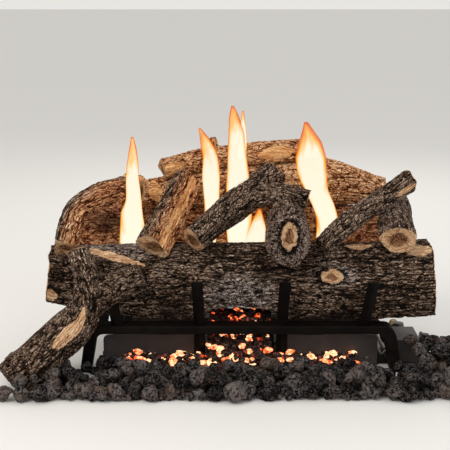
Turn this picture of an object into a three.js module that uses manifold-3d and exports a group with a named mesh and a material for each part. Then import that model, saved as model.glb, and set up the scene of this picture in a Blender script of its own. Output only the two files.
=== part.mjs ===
// A gas log set for a fireplace: cast refractory logs on a bar grate, over gas burners with embers and lava rock.
// Millimetres, +Z up, X to the right and Y away from whoever faces the fire.
// The origin is on the hearth, on the underside of the base tray, midway between its ends.
import * as THREE from "three";
import { mergeVertices } from "three/addons/utils/BufferGeometryUtils.js";
import Module from "manifold-3d";

const wasm = await Module();
wasm.setup();

// Clearances, the overrun that every cut shares and the weld of coincident points
const seatGap = 0.3;
const runGap = 0.4;
const overrun = 6;
const weldGap = 0.001;

// Sheet steel base
const tray = { width: 446, depth: 236, frontY: -86, sheet: 1.6, rearLip: 26, frontLip: 22 };
const panel = { width: 443, height: 51, sheet: 1.6, cornerRadius: 9, notchWidth: 118 };
const screw = { headRadius: 4.2, headHeight: 2.4, shankRadius: 2, length: 6, slotWidth: 1.2, slotDepth: 1, inset: 16 };

// Bar grate
const rail = { thick: 12.7, depth: 32, rearY: -93, top: 76, legWidth: 17, shoulder: 22, edge: 1.2 };
rail.halfSpan = 239;
rail.footHalfSpan = 247;
const bar = { size: 12.7, spacing: 131, edge: 0.8 };
const finger = { rise: 74, lean: 23, splayShare: 0.05, setBack: 14 };
const rearRail = { depth: 16, y: 134 };
const logRest = { x: 131, width: 34, depth: 36, sheet: 2, height: 98, foot: 18, frontY: 92, pinRadius: 3.5, pinHeight: 15 };

// Burners
const burner = { radius: 12.5, wall: 1.2, length: 330, x: -18, y: 26, z: 40 };
const port = { radius: 1.8, spacing: 44, endMargin: 20 };
const cradle = { width: 22, sheet: 1.6, spread: 200, x: -34, cheek: 9, upright: 14 };
const mixer = { radius: 9.5, wall: 1.2, length: 62, insert: 12, mouthRadius: 13.5, mouthLength: 10, fromMouth: 15 };
const shutter = { wall: 1.1, length: 16, windows: 3, windowWidth: 8, windowLength: 9 };
const orifice = { hexRadius: 6.5, hexLength: 8, noseRadius: 3.4, noseLength: 9, bore: 1, insert: 3 };
const supply = { radius: 4.8, wall: 1, bend: 12, x: 239 };
const frontBurner = { radius: 8, wall: 1.2, length: 356, y: -132, z: 12, footWidth: 10, footSpread: 250 };
const feed = { radius: 4.8, x: 96, bend: 9 };
const ramp = { width: 107, sheet: 1.4, frontY: -118, rearY: -58, frontZ: 21, rearZ: 68 };

// Gas controls beside the right end of the tray
const cover = { right: 291, frontY: -86, width: 40, length: 74, top: 41, wall: 1.6, sideDrop: 8 };
const shelf = { left: 190, thick: 1.8, overhang: 1 };
const valve = { width: 30, length: 44, height: 34, y: -41, chamfer: 4, portRadius: 3 };
const plug = { largeRadius: 7.5, smallRadius: 6, length: 19, slotWidth: 3.4, slotDepth: 8 };
const bonnet = { plate: 3, side: 26, bossRadius: 8.5, bossLength: 6 };
const stem = { radius: 3.9, flatShare: 0.6, keyWidth: 2.8, keyLength: 4 };
const knob = { radius: 16, length: 15, skirtRadius: 18, skirtLength: 4, push: 3, clear: 0.8, grips: 8, gripRadius: 3 };
knob.boreDepth = 12;
knob.crown = 2;
const piezo = { radius: 9, length: 33, flangeRadius: 11.5, flangeThick: 2.5, fromFront: 13, terminalRadius: 3, terminal: 5 };
const button = { radius: 6, proud: 9, travel: 6, depth: 9, crown: 1.2 };
const regulator = { radius: 17, height: 18, capRadius: 8, capHeight: 9, neckRadius: 7, neck: 12, rim: 2 };
const inlet = { hexRadius: 9.5, hexLength: 12, nippleRadius: 8, nippleLength: 15, bore: 4.5 };

// Pilot burner, flame sensor and spark, with their lines back to the controls
const pilot = { x: 120, y: 51, pitch: 14, stagger: 7, plateZ: 34, plate: 1.8, foot: 14, edge: 7, clear: 1.5 };
const pilotTube = { radius: 4, below: 8, above: 16, hoodRadius: 6, hoodHeight: 8, slot: 5 };
const sensor = { radius: 2.1, above: 26, nutRadius: 4.6, nutHeight: 6, below: 8 };
const spark = { radius: 3, above: 20, below: 8, tipRadius: 1, tip: 8 };
const line = { gasRadius: 2.4, sensorRadius: 1.5, wireRadius: 1.6, z: 10, bend: 8, lane: 7, firstX: 231 };

// Logs that lie along X: wide is front to back, tall is up, and tables of shares shape their lines
const frontLog = { length: 618, wide: 104, tall: 124, x: 0, y: -51, barkShare: 0.03, seed: 1.3, flatShare: 0.92 };
frontLog.underPower = 5;
frontLog.lineShares = [-0.02, -0.01, 0.01, 0, -0.01, 0.005, 0.03];
frontLog.riseShares = [0.1, 0.02, 0, 0, 0, 0, 0.05];
frontLog.girthShares = [0.74, 0.9, 1, 0.97, 0.98, 1, 1.02];
const arch = { width: 136, topWidth: 104, rise: 22 };

// Long cracks in the front log's bark: shares of its length and of a turn round it, then the crack's own length
// and climb as shares of the log's length
const crack = { radius: 4.2, sides: 4 };
crack.placeShares = [
  [-0.12, 0.385, 0.2, -0.012],
  [0.08, 0.415, 0.28, -0.02],
  [-0.27, 0.455, 0.13, 0.008],
  [0.3, 0.37, 0.16, -0.01],
  [0.37, 0.5, 0.15, 0.01],
  [-0.15, 0.5, 0.2, 0.014],
  [0.36, 0.585, 0.19, -0.006],
  [-0.2, 0.575, 0.14, 0.006],
];
const knot = { radius: 18, rimRadius: 25, height: 8, tallShare: 0.66, xShare: 0.232, riseShare: 0.15 };
const rearLog = { length: 566, wide: 96, tall: 140, x: 3, y: 101, barkShare: 0.035, seed: 4.1, flatShare: 0.9 };
rearLog.lineShares = [0.02, 0, -0.02, 0.01, 0];
rearLog.riseShares = [0.09, 0.03, 0, 0.01, 0];
rearLog.girthShares = [0.84, 1, 1, 1, 0.92];
const upperLog = { length: 412, wide: 76, tall: 82, x: 41, y: 98, bedShare: 0.07, barkShare: 0.05, seed: 2.7 };
upperLog.lineShares = [-0.45, -0.06, 0.02, -0.03, -0.12];
upperLog.girthShares = [0.58, 0.82, 0.94, 1.06, 0.8];
const topLog = { length: 236, wide: 40, tall: 40, x: -14, y: 92, bedShare: 0.08, barkShare: 0.06, seed: 5.9 };
topLog.lineShares = [-0.75, -0.08, 0, -0.15];
topLog.girthShares = [0.92, 1, 1.04, 0.96];
const topStub = { radius: 7, height: 26, xShare: -0.17, tipShare: 0.8 };

// Logs that lean. Each row places a point: a share of the front log's length across, of the way from the front log
// to the rear log, and of the climb from the front log's crest to the upper log's, plus a share of the own radius.
const archLog = { radius: 22, barkShare: 0.07, seed: 7.7 };
archLog.pointShares = [
  [-0.447, -0.34, -0.2, 1],
  [-0.442, -0.12, 0.04, 1],
  [-0.424, 0.03, 0.28, 1],
  [-0.388, 0.16, 0.4, 1],
  [-0.342, 0.44, 0.45, 1],
  [-0.296, 0.93, 0.375, 1],
];
archLog.girthShares = [0.8, 0.92, 1.04, 1.02, 1.08, 1.14];
const splitLog = { wide: 60, tall: 38, barkShare: 0.03, seed: 6.4 };
splitLog.pointShares = [
  [-0.222, -0.23, -0.17, 1],
  [-0.18, 0.24, 0.22, 1],
  [-0.138, 0.74, 0.63, 1],
];
splitLog.girthShares = [1.05, 1, 0.94];
const crossLog = { radius: 25, barkShare: 0.06, seed: 9.1 };
crossLog.pointShares = [
  [-0.122, -0.18, -0.15, 1],
  [-0.06, 0.05, 0.1, 1],
  [0.015, 0.3, 0.38, 1],
  [0.092, 0.62, 0.67, 1],
];
crossLog.girthShares = [0.88, 1, 1.06, 0.96];
const crossLimb = { radius: 18, barkShare: 0.06, seed: 1.9 };
crossLimb.pointShares = [
  [0.02, 0.3, 0.44, 1],
  [0.1, 0.24, 0.5, 1],
  [0.18, 0.2, 0.44, 1],
];
crossLimb.girthShares = [1.15, 1.06, 0.95];
const stubLog = { wide: 70, tall: 88, barkShare: 0.05, seed: 2.2 };
stubLog.pointShares = [
  [0.121, -0.5, -0.2, 1],
  [0.121, -0.1, -0.15, 1],
  [0.124, 0.35, -0.13, 1],
  [0.129, 0.8, -0.1, 1],
];
stubLog.girthShares = [0.7, 1, 1, 0.94, 0.88, 0.82, 0.78];
const stubKnot = { radius: 13, rimRadius: 20, height: 7, tallShare: 1.45 };
const branchLog = { radius: 18, barkShare: 0.06, seed: 4.8 };
branchLog.pointShares = [
  [0.211, -0.22, -0.16, 1],
  [0.265, -0.07, 0.09, 1],
  [0.327, 0.06, 0.31, 1],
  [0.39, 0.19, 0.51, 1],
  [0.45, 0.29, 0.7, 1],
];
branchLog.girthShares = [0.92, 1.02, 1, 1, 1.06];
const endLog = { wide: 60, tall: 46, barkShare: 0.05, seed: 6.8 };
endLog.pointShares = [
  [0.402, -0.31, -0.08, 1],
  [0.412, 0.2, 0.04, 1],
  [0.424, 0.6, 0.14, 1],
  [0.432, 0.95, 0.2, 1],
];
endLog.girthShares = [0.96, 1, 0.94, 0.84];

// The forked log stands on the hearth: rows give shares of the front log's length, of the reach in front of that
// log's face and of the height of its crest.
const forkLog = { radius: 31, reach: 112, barkShare: 0.06, seed: 3.3 };
forkLog.pointShares = [
  [-0.56, -0.96, 0.07],
  [-0.47, -0.64, 0.31],
  [-0.395, -0.36, 0.56],
  [-0.392, -0.18, 0.8],
  [-0.414, -0.06, 1.01],
];
forkLog.girthShares = [1.05, 1.1, 1.02, 0.7, 0.62];
const forkLimb = { radius: 23, barkShare: 0.06, seed: 8.2 };
forkLimb.pointShares = [
  [-0.41, -0.36, 0.52],
  [-0.335, -0.17, 0.68],
  [-0.25, -0.12, 0.81],
];
forkLimb.girthShares = [1.1, 1.08, 1];
const barkShape = { lobes: 3, fineLobes: 5, lumps: 9, twist: 5 };

// Loose media: broken lava rock in front and rock wool embers over the front burner
const rock = { radius: 20.5, pitch: 37, unevenShare: 0.4, squashShare: 0.86, spreadShare: 0.2, pad: 13 };
const rockField = { halfLength: 352, frontY: -240, rearY: -168, sideY: -112, sideStart: 268, beds: 4 };
const pile = { x: 318, halfLength: 44, y: -122, depth: 26 };
const ember = { radius: 13.5, pitch: 29, unevenShare: 0.4, squashShare: 0.9, spreadShare: 0.4, uneven: 8 };
const emberBed = { frontY: -152, sideStart: 74, sideEnd: 172, heap: 12, bank: 15 };

// Colours, roughness and metalness, read from the photograph
const finish = {
  steel: ["#2b2a2b", 0.62, 0.55],
  panelSteel: ["#4a494b", 0.58, 0.5],
  burnerSteel: ["#6f6d69", 0.45, 0.8],
  zinc: ["#9a9b9c", 0.4, 0.85],
  brass: ["#b08d45", 0.35, 0.9],
  copper: ["#a8694a", 0.35, 0.9],
  casting: ["#8b8d8e", 0.5, 0.7],
  plastic: ["#1b1b1c", 0.5, 0],
  ceramicWhite: ["#e3ddd0", 0.5, 0],
  charredBark: ["#5d5247", 0.95, 0],
  warmBark: ["#86604a", 0.95, 0],
  emberGlow: ["#c2491c", 0.9, 0],
  lava: ["#4b4745", 0.97, 0],
};

// Solids from geometry and back
function welded(geometry) {
  const bare = geometry.clone();
  for (const name of Object.keys(bare.attributes)) {
    if (name !== "position") bare.deleteAttribute(name);
  }
  return mergeVertices(bare, weldGap);
}

function solid(geometry) {
  const merged = welded(geometry);
  const ids = merged.index.array;
  const kept = [];
  for (let i = 0; i < ids.length; i += 3) {
    const [a, b, c] = ids.slice(i, i + 3);
    if (a !== b && b !== c && c !== a) kept.push(a, b, c);
  }
  const vertProperties = new Float32Array(merged.attributes.position.array);
  const shape = (order) => {
    const triVerts = new Uint32Array(kept.length);
    for (let i = 0; i < kept.length; i += 3) order.forEach((k, n) => (triVerts[i + n] = kept[i + k]));
    return new wasm.Manifold(new wasm.Mesh({ numProp: 3, vertProperties, triVerts }));
  };
  const body = shape([0, 1, 2]);
  return body.volume() > 0 ? body : shape([0, 2, 1]);
}

function geometryOf(body) {
  const mesh = body.getMesh();
  const positions = new Float32Array(mesh.numVert * 3);
  for (let i = 0; i < mesh.numVert; i++) {
    positions.set(mesh.vertProperties.subarray(i * mesh.numProp, i * mesh.numProp + 3), i * 3);
  }
  const geometry = new THREE.BufferGeometry();
  geometry.setAttribute("position", new THREE.BufferAttribute(positions, 3));
  geometry.setIndex(new THREE.BufferAttribute(mesh.triVerts, 1));
  geometry.computeVertexNormals();
  return geometry;
}

const join = (...bodies) => bodies.reduce((a, b) => a.add(b));
const cut = (body, ...tools) => tools.reduce((a, b) => a.subtract(b), body);
const largest = (body) => body.decompose().reduce((a, b) => (b.volume() > a.volume() ? b : a));

// The same closed surface moved outwards by a gap, with its sharp edges kept sharp
function grown(body, gap) {
  const mesh = body.getMesh();
  const at = (i) => new THREE.Vector3().fromArray(mesh.vertProperties, i * mesh.numProp);
  const normals = Array.from({ length: mesh.numVert }, () => []);
  for (let t = 0; t < mesh.numTri; t++) {
    const ids = [0, 1, 2].map((k) => mesh.triVerts[t * 3 + k]);
    const [a, b, c] = ids.map(at);
    const normal = b.sub(a).cross(c.sub(a));
    if (normal.lengthSq() > 0) ids.forEach((i) => normals[i].push(normal.clone().normalize()));
  }
  const vertProperties = new Float32Array(mesh.numVert * 3);
  for (let i = 0; i < mesh.numVert; i++) {
    const mean = normals[i].reduce((sum, n) => sum.add(n), new THREE.Vector3()).normalize();
    const reach = Math.max(0.4, Math.min(...normals[i].map((n) => n.dot(mean))));
    at(i).addScaledVector(mean, gap / reach).toArray(vertProperties, i * 3);
  }
  return new wasm.Manifold(new wasm.Mesh({ numProp: 3, vertProperties, triVerts: mesh.triVerts }));
}

// A piece cut to sit on its supports with the seat gap, less any sliver that the cut frees
function seated(body, ...supports) {
  return largest(cut(body, ...supports.map((support) => grown(support, seatGap))));
}

// Plain shapes, placed
function block(x0, x1, y0, y1, z0, z1) {
  const geometry = new THREE.BoxGeometry(x1 - x0, y1 - y0, z1 - z0);
  return solid(geometry.translate((x0 + x1) / 2, (y0 + y1) / 2, (z0 + z1) / 2));
}

const turns = {
  x: (geometry) => geometry.rotateZ(-Math.PI / 2),
  y: (geometry) => geometry,
  z: (geometry) => geometry.rotateX(Math.PI / 2),
};

// A cylinder or cone that starts at a point and runs along +X, +Y or +Z
function rod(axis, radius, length, [x, y, z], sides = 20, endRadius = radius) {
  const geometry = new THREE.CylinderGeometry(endRadius, radius, length, sides);
  return solid(turns[axis](geometry.translate(0, length / 2, 0)).translate(x, y, z));
}

// The same rod run past both of its ends, as a drill
function drill(axis, radius, length, [x, y, z], sides = 16) {
  const back = { x: [x - overrun, y, z], y: [x, y - overrun, z], z: [x, y, z - overrun] }[axis];
  return rod(axis, radius, length + 2 * overrun, back, sides);
}

// A profile of radii and heights turned round an axis; it closes on itself or ends on the axis
function turned(axis, profile, [x, y, z], sides = 24) {
  const points = profile.map(([radius, height]) => new THREE.Vector2(radius, height));
  return solid(turns[axis](new THREE.LatheGeometry(points, sides)).translate(x, y, z));
}

// A line through points whose corners are rounded to one radius
function bentLine(points, radius) {
  const path = new THREE.CurvePath();
  let from = points[0];
  for (let i = 1; i < points.length - 1; i++) {
    const corner = points[i];
    const start = corner.clone().add(points[i - 1].clone().sub(corner).setLength(radius));
    const end = corner.clone().add(points[i + 1].clone().sub(corner).setLength(radius));
    path.add(new THREE.LineCurve3(from, start));
    path.add(new THREE.QuadraticBezierCurve3(start, corner, end));
    from = end;
  }
  path.add(new THREE.LineCurve3(from, points.at(-1)));
  return path;
}

function circle(radius, sides) {
  const shape = new THREE.Shape();
  for (let i = 0; i < sides; i++) {
    const a = (i / sides) * 2 * Math.PI;
    shape[i ? "lineTo" : "moveTo"](radius * Math.cos(a), radius * Math.sin(a));
  }
  shape.closePath();
  return shape;
}

// A bent rod, or a bent tube where a bore is given
function bent(points, radius, bend, { bore = 0, sides = 8, steps = 16 } = {}) {
  const places = points.map(([x, y, z]) => new THREE.Vector3(x, y, z));
  const settings = { steps, extrudePath: bentLine(places, bend), bevelEnabled: false };
  const section = circle(radius, sides);
  if (bore) section.holes.push(circle(bore, sides));
  return solid(new THREE.ExtrudeGeometry(section, settings));
}

function outline(points) {
  const shape = new THREE.Shape();
  points.forEach(([x, y], i) => shape[i ? "lineTo" : "moveTo"](x, y));
  shape.closePath();
  return shape;
}

// An outline in X and Z given its depth back from a front plane, with an optional chamfer round its edges
function standing(shape, frontY, depth, edge = 0) {
  const settings = { depth: depth - 2 * edge, curveSegments: 5, bevelEnabled: edge > 0, bevelSegments: 1 };
  Object.assign(settings, { bevelThickness: edge, bevelSize: edge, bevelOffset: -edge });
  const geometry = new THREE.ExtrudeGeometry(shape, settings).rotateX(Math.PI / 2);
  return solid(geometry.translate(0, frontY + depth - edge, 0));
}

// An outline in Y and Z drawn out along +X
function drawnOut(points, x, width) {
  const geometry = new THREE.ExtrudeGeometry(outline(points), { depth: width, bevelEnabled: false });
  return solid(geometry.rotateX(Math.PI / 2).rotateZ(Math.PI / 2).translate(x, 0, 0));
}

const root = new THREE.Group();
root.name = "gas_log_set";

function add(name, body, finishName) {
  const [color, roughness, metalness] = finish[finishName];
  const material = new THREE.MeshStandardMaterial({ name: finishName, color, roughness, metalness });
  const mesh = new THREE.Mesh(geometryOf(body), material);
  mesh.name = name;
  root.add(mesh);
  return body;
}

// Base tray, folded up at the front and back
const trayRearY = tray.frontY + tray.depth;
const panelY = tray.frontY - seatGap - panel.sheet;
const panelStack = tray.frontY + tray.sheet - panelY;
const feedHole = drill("y", feed.radius + runGap, panelStack, [feed.x, panelY, frontBurner.z], 10);
const screwX = panel.width / 2 - screw.inset;
const screwZ = tray.frontLip / 2;
const screwHoles = [-screwX, screwX].map((x) => {
  return drill("y", screw.shankRadius + seatGap, panelStack, [x, panelY, screwZ], 8);
});

function makeTray() {
  const { width, frontY, sheet, rearLip, frontLip } = tray;
  const profile = [
    [frontY, 0],
    [trayRearY, 0],
    [trayRearY, rearLip],
    [trayRearY - sheet, rearLip],
    [trayRearY - sheet, sheet],
    [frontY + sheet, sheet],
    [frontY + sheet, frontLip],
    [frontY, frontLip],
  ];
  return cut(drawnOut(profile, -width / 2, width), feedHole, ...screwHoles);
}

// Front panel, notched in the middle for the ember ramp
function makePanel() {
  const { width, height, cornerRadius: r, notchWidth } = panel;
  const [edge, low] = [width / 2, tray.sheet];
  const shape = new THREE.Shape();
  shape.moveTo(-edge, low);
  shape.lineTo(edge, low);
  shape.lineTo(edge, height - r);
  shape.absarc(edge - r, height - r, r, 0, Math.PI / 2);
  shape.lineTo(notchWidth / 2, height);
  shape.lineTo(notchWidth / 2, tray.frontLip);
  shape.lineTo(-notchWidth / 2, tray.frontLip);
  shape.lineTo(-notchWidth / 2, height);
  shape.absarc(-edge + r, height - r, r, Math.PI / 2, Math.PI);
  shape.closePath();
  return cut(standing(shape, panelY, panel.sheet), feedHole, ...screwHoles);
}

// A slotted screw driven back along Y; its head sits a seat gap off the panel
function makeScrew(x, z, seatY) {
  const { headRadius, headHeight, shankRadius, length, slotWidth, slotDepth } = screw;
  const top = seatY - seatGap - headHeight;
  const profile = [
    [0, 0],
    [headRadius / 2, 0],
    [headRadius, headHeight / 2],
    [headRadius, headHeight],
    [0, headHeight],
  ];
  const head = turned("y", profile, [x, top, z], 8);
  const shank = rod("y", shankRadius, headHeight + length, [x, top, z], 6);
  const half = slotWidth / 2;
  const slot = block(x - half, x + half, top - overrun, top + slotDepth, z - overrun, z + overrun);
  return cut(join(head, shank), slot);
}

add("base_tray", makeTray(), "steel");
const frontPanel = add("front_panel", makePanel(), "panelSteel");
add("panel_screw_left", makeScrew(-screwX, screwZ, panelY), "zinc");
add("panel_screw_right", makeScrew(screwX, screwZ, panelY), "zinc");

// Grate: a flat bar bent to an arch at the front and back, bars between them and fingers on the front one
const railFrontY = rail.rearY - rail.depth;
const railCentreY = rail.rearY - rail.depth / 2;
const railUnder = rail.top - rail.thick;
const barXs = [-1.5, -0.5, 0.5, 1.5].map((share) => share * bar.spacing);
const diamond = bar.size / Math.SQRT2;

function makeRail(frontY, depth) {
  const { thick, top, halfSpan, footHalfSpan, legWidth, shoulder, edge } = rail;
  const half = legWidth / 2;
  const inner = shoulder - thick / 2;
  const shape = new THREE.Shape();
  shape.moveTo(footHalfSpan + half, 0);
  shape.lineTo(halfSpan + half, top - shoulder);
  shape.quadraticCurveTo(halfSpan + half / 2, top, halfSpan - shoulder / 2, top);
  shape.lineTo(-halfSpan + shoulder / 2, top);
  shape.quadraticCurveTo(-halfSpan - half / 2, top, -halfSpan - half, top - shoulder);
  shape.lineTo(-footHalfSpan - half, 0);
  shape.lineTo(-footHalfSpan + half, 0);
  shape.lineTo(-halfSpan + half, railUnder - inner);
  shape.quadraticCurveTo(-halfSpan + half + thick / 4, railUnder, -halfSpan + shoulder, railUnder);
  shape.lineTo(halfSpan - shoulder, railUnder);
  shape.quadraticCurveTo(halfSpan - half - thick / 4, railUnder, halfSpan - half, railUnder - inner);
  shape.lineTo(footHalfSpan - half, 0);
  return standing(shape, frontY, depth, edge);
}

// A square bar set on its corner; its top leans towards the viewer and away from the middle
function makeFinger(x) {
  const foot = rail.top + seatGap;
  const geometry = new THREE.CylinderGeometry(diamond, diamond, finger.rise, 4).rotateX(Math.PI / 2);
  geometry.translate(0, 0, finger.rise / 2);
  const [right, back] = [(finger.splayShare * x) / finger.rise, -finger.lean / finger.rise];
  const y = railFrontY + finger.setBack;
  const shear = new THREE.Matrix4().set(1, 0, right, x, 0, 1, back, y, 0, 0, 1, foot, 0, 0, 0, 1);
  return solid(geometry.applyMatrix4(shear));
}

const postTop = rail.top - rail.thick / 2;
const posts = [barXs[1], barXs[2]].map((x) => rod("z", diamond, postTop, [x, railCentreY, 0], 4));
const frontRail = add("grate_front_frame", join(makeRail(railFrontY, rail.depth), ...posts), "steel");
const rearRailY = rearRail.y - rearRail.depth / 2;
const rearFrame = add("grate_rear_frame", makeRail(rearRailY, rearRail.depth), "steel");
const grateBars = barXs.map((x, i) => {
  const half = bar.size / 2;
  const profile = [
    [x - half, rail.top - bar.size],
    [x + half, rail.top - bar.size],
    [x + half, rail.top],
    [x - half, rail.top],
  ];
  const start = rail.rearY + seatGap;
  const body = standing(outline(profile), start, rearRailY - seatGap - start, bar.edge);
  return add(`grate_bar_${i + 1}`, body, "steel");
});
const fingers = barXs.map((x, i) => add(`grate_finger_${i + 1}`, makeFinger(x), "steel"));

// Rests that hold the rear log: a foot on the tray, an upright and a top flange with a locating pin
function makeRest(x) {
  const { width, depth, sheet, height, foot, frontY, pinRadius, pinHeight } = logRest;
  const low = tray.sheet + seatGap;
  const profile = [
    [frontY - foot, low],
    [frontY + sheet, low],
    [frontY + sheet, height - sheet],
    [frontY + depth, height - sheet],
    [frontY + depth, height],
    [frontY, height],
    [frontY, low + sheet],
    [frontY - foot, low + sheet],
  ];
  const pinAt = [x, frontY + depth / 2, height - sheet];
  const pin = rod("z", pinRadius, pinHeight + sheet, pinAt, 12, pinRadius * 0.8);
  const hole = drill("y", width / 4, sheet, [x, frontY, height / 2], 12);
  return join(cut(drawnOut(profile, x - width / 2, width), hole), pin);
}

const restLeft = add("rear_log_rest_left", makeRest(-logRest.x), "steel");
const restRight = add("rear_log_rest_right", makeRest(logRest.x), "steel");

// Rear burner: a capped tube with a row of ports, on a cradle
const burnerLeft = burner.x - burner.length / 2;
const burnerRight = burner.x + burner.length / 2;
const mixerLeft = burnerRight - mixer.insert;
const mixerRight = mixerLeft + mixer.length;

function portRow(left, right, y, top) {
  const count = Math.floor((right - left - 2 * port.endMargin) / port.spacing);
  const start = (left + right) / 2 - (count * port.spacing) / 2;
  return Array.from({ length: count + 1 }, (_, i) => {
    return rod("z", port.radius, 2 * overrun, [start + i * port.spacing, y, top - overrun], 6);
  });
}

function makeBurner() {
  const { radius, wall, y, z, length } = burner;
  const collar = mixer.radius + seatGap;
  const profile = [
    [0, 0],
    [radius, 0],
    [radius, length],
    [collar, length],
    [collar, length - wall],
    [radius - wall, length - wall],
    [radius - wall, wall],
    [0, wall],
  ];
  const tube = turned("x", profile, [burnerLeft, y, z], 14);
  const bore = drill("x", collar, wall, [burnerRight - wall, y, z], 14);
  const tap = drill("z", feed.radius - supply.wall, wall, [feed.x, y, z - radius], 10);
  return cut(tube, bore, ...portRow(burnerLeft, burnerRight, y, z + radius), tap);
}

function makeCradle() {
  const { width, sheet, spread, x, cheek, upright } = cradle;
  const low = tray.sheet + seatGap;
  const [front, back] = [burner.y - width / 2, burner.y + width / 2];
  const ends = [x - spread / 2, x + spread / 2];
  const strip = block(ends[0] - upright, ends[1] + upright, front, back, low, low + sheet);
  const stands = ends.map((at) => {
    const profile = [
      [front - cheek, burner.z],
      [front, low],
      [back, low],
      [back + cheek, burner.z],
    ];
    return drawnOut(profile, at - sheet / 2, sheet);
  });
  const seat = rod("x", burner.radius + seatGap, burner.length, [burnerLeft, burner.y, burner.z], 14);
  return cut(join(strip, ...stands), seat);
}

add("rear_burner_tube", makeBurner(), "burnerSteel");
add("burner_cradle", makeCradle(), "steel");

// Mixer tube with a flared mouth and air windows, and the shutter that turns over them
const shutterLeft = mixerRight - mixer.fromMouth - shutter.length;
const windowLeft = shutterLeft + (shutter.length - shutter.windowLength) / 2;

function airWindows(reach) {
  return Array.from({ length: shutter.windows }, (_, i) => {
    const { windowLength: length, windowWidth: width } = shutter;
    const geometry = new THREE.BoxGeometry(length, width, reach);
    geometry.translate(windowLeft + length / 2, 0, reach / 2);
    geometry.rotateX((i / shutter.windows) * 2 * Math.PI);
    return solid(geometry.translate(0, burner.y, burner.z));
  });
}

function makeMixer() {
  const { radius, wall, length, mouthRadius, mouthLength } = mixer;
  const throat = length - mouthLength;
  const flare = [(radius + mouthRadius) / 2, throat + mouthLength * 0.7];
  const profile = [
    [radius - wall, 0],
    [radius, 0],
    [radius, throat],
    flare,
    [mouthRadius, length],
    [mouthRadius - wall, length],
    [flare[0] - wall, flare[1]],
    [radius - wall, throat],
    [radius - wall, 0],
  ];
  const tube = turned("x", profile, [mixerLeft, burner.y, burner.z], 14);
  return cut(tube, ...airWindows(2 * radius));
}

function makeShutter() {
  const inside = mixer.radius + runGap;
  const outside = inside + shutter.wall;
  const profile = [
    [inside, 0],
    [outside, 0],
    [outside, shutter.length],
    [inside, shutter.length],
    [inside, 0],
  ];
  const sleeve = turned("x", profile, [shutterLeft, burner.y, burner.z], 14);
  return cut(sleeve, ...airWindows(2 * outside));
}

add("burner_mixer_tube", makeMixer(), "burnerSteel");
add("air_shutter", makeShutter(), "zinc");

// Gas orifice in the mixer's mouth
const orificeTip = mixerRight - orifice.insert;
const orificeRight = orificeTip + orifice.noseLength + orifice.hexLength;

function makeOrifice() {
  const { hexRadius, hexLength, noseRadius, noseLength, bore } = orifice;
  const at = [orificeTip, burner.y, burner.z];
  const nose = rod("x", noseRadius / 2, noseLength + hexLength / 2, at, 12, noseRadius);
  const hex = rod("x", hexRadius, hexLength, [orificeTip + noseLength, burner.y, burner.z], 6);
  return cut(join(nose, hex), drill("x", bore, noseLength + hexLength, at, 8));
}

add("gas_orifice", makeOrifice(), "brass");

// Gas valve, mounted on a shelf and covered by a hood
const shelfTop = tray.sheet + seatGap + shelf.thick;
const coverInner = cover.right - cover.wall;
const bonnetRight = coverInner - seatGap;
const valveRight = bonnetRight - bonnet.plate - seatGap;
const valveLeft = valveRight - valve.width;
const valveLow = shelfTop + seatGap;
const valveZ = valveLow + valve.height / 2 + valve.chamfer / 2;
const valveX = (valveLeft + valveRight) / 2;
const plugRight = valveRight - seatGap;
const plugLeft = plugRight - plug.length;
const bossRight = bonnetRight + bonnet.bossLength;
const knobLeft = bossRight + knob.push + knob.clear;
const stemRight = knobLeft + knob.boreDepth - seatGap;
const stemLand = stem.radius * stem.flatShare;
const piezoY = cover.frontY + piezo.fromFront;
const coverRearY = cover.frontY + cover.length;

function makeValve() {
  const { length, height, chamfer, y, portRadius } = valve;
  const [front, back, top] = [y - length / 2, y + length / 2, valveLow + height];
  const profile = [
    [front, valveLow],
    [back, valveLow],
    [back, top - chamfer],
    [back - chamfer, top],
    [front + chamfer, top],
    [front, top - chamfer],
  ];
  const start = [plugLeft - runGap, y, valveZ];
  const wide = plug.largeRadius + runGap;
  const chamber = rod("x", plug.smallRadius + runGap, plug.length + 2 * runGap, start, 16, wide);
  const mouth = rod("x", wide, overrun, [plugRight, y, valveZ], 16);
  const outlet = rod("x", portRadius, valve.width / 2, [valveLeft - overrun, y, valveZ], 10);
  const inletPort = rod("y", portRadius, length, [plugLeft + plug.length / 3, y, valveZ], 10);
  return cut(drawnOut(profile, valveLeft, valve.width), chamber, mouth, outlet, inletPort);
}

function makePlug() {
  const { largeRadius, smallRadius, length, slotWidth, slotDepth } = plug;
  const { y, portRadius } = valve;
  const cone = rod("x", smallRadius, length, [plugLeft, y, valveZ], 16, largeRadius);
  const way = rod("x", portRadius, length / 3 + overrun, [plugLeft - overrun, y, valveZ], 10);
  const crossWay = rod("y", portRadius, 2 * largeRadius, [plugLeft + length / 3, y, valveZ], 10);
  const half = slotWidth / 2;
  const slot = block(plugRight - slotDepth, plugRight + overrun, y - half, y + half, valveZ - length, valveZ + length);
  return cut(cone, way, crossWay, slot);
}

function makeBonnet() {
  const { plate, side, bossRadius, bossLength } = bonnet;
  const at = [bonnetRight - plate, valve.y, valveZ];
  const [half, y] = [side / 2, valve.y];
  const base = block(bonnetRight - plate, bonnetRight, y - half, y + half, valveZ - half, valveZ + half);
  const boss = rod("x", bossRadius, plate + bossLength, at, 16);
  return cut(join(base, boss), drill("x", stem.radius + runGap, plate + bossLength, at, 12));
}

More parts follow.
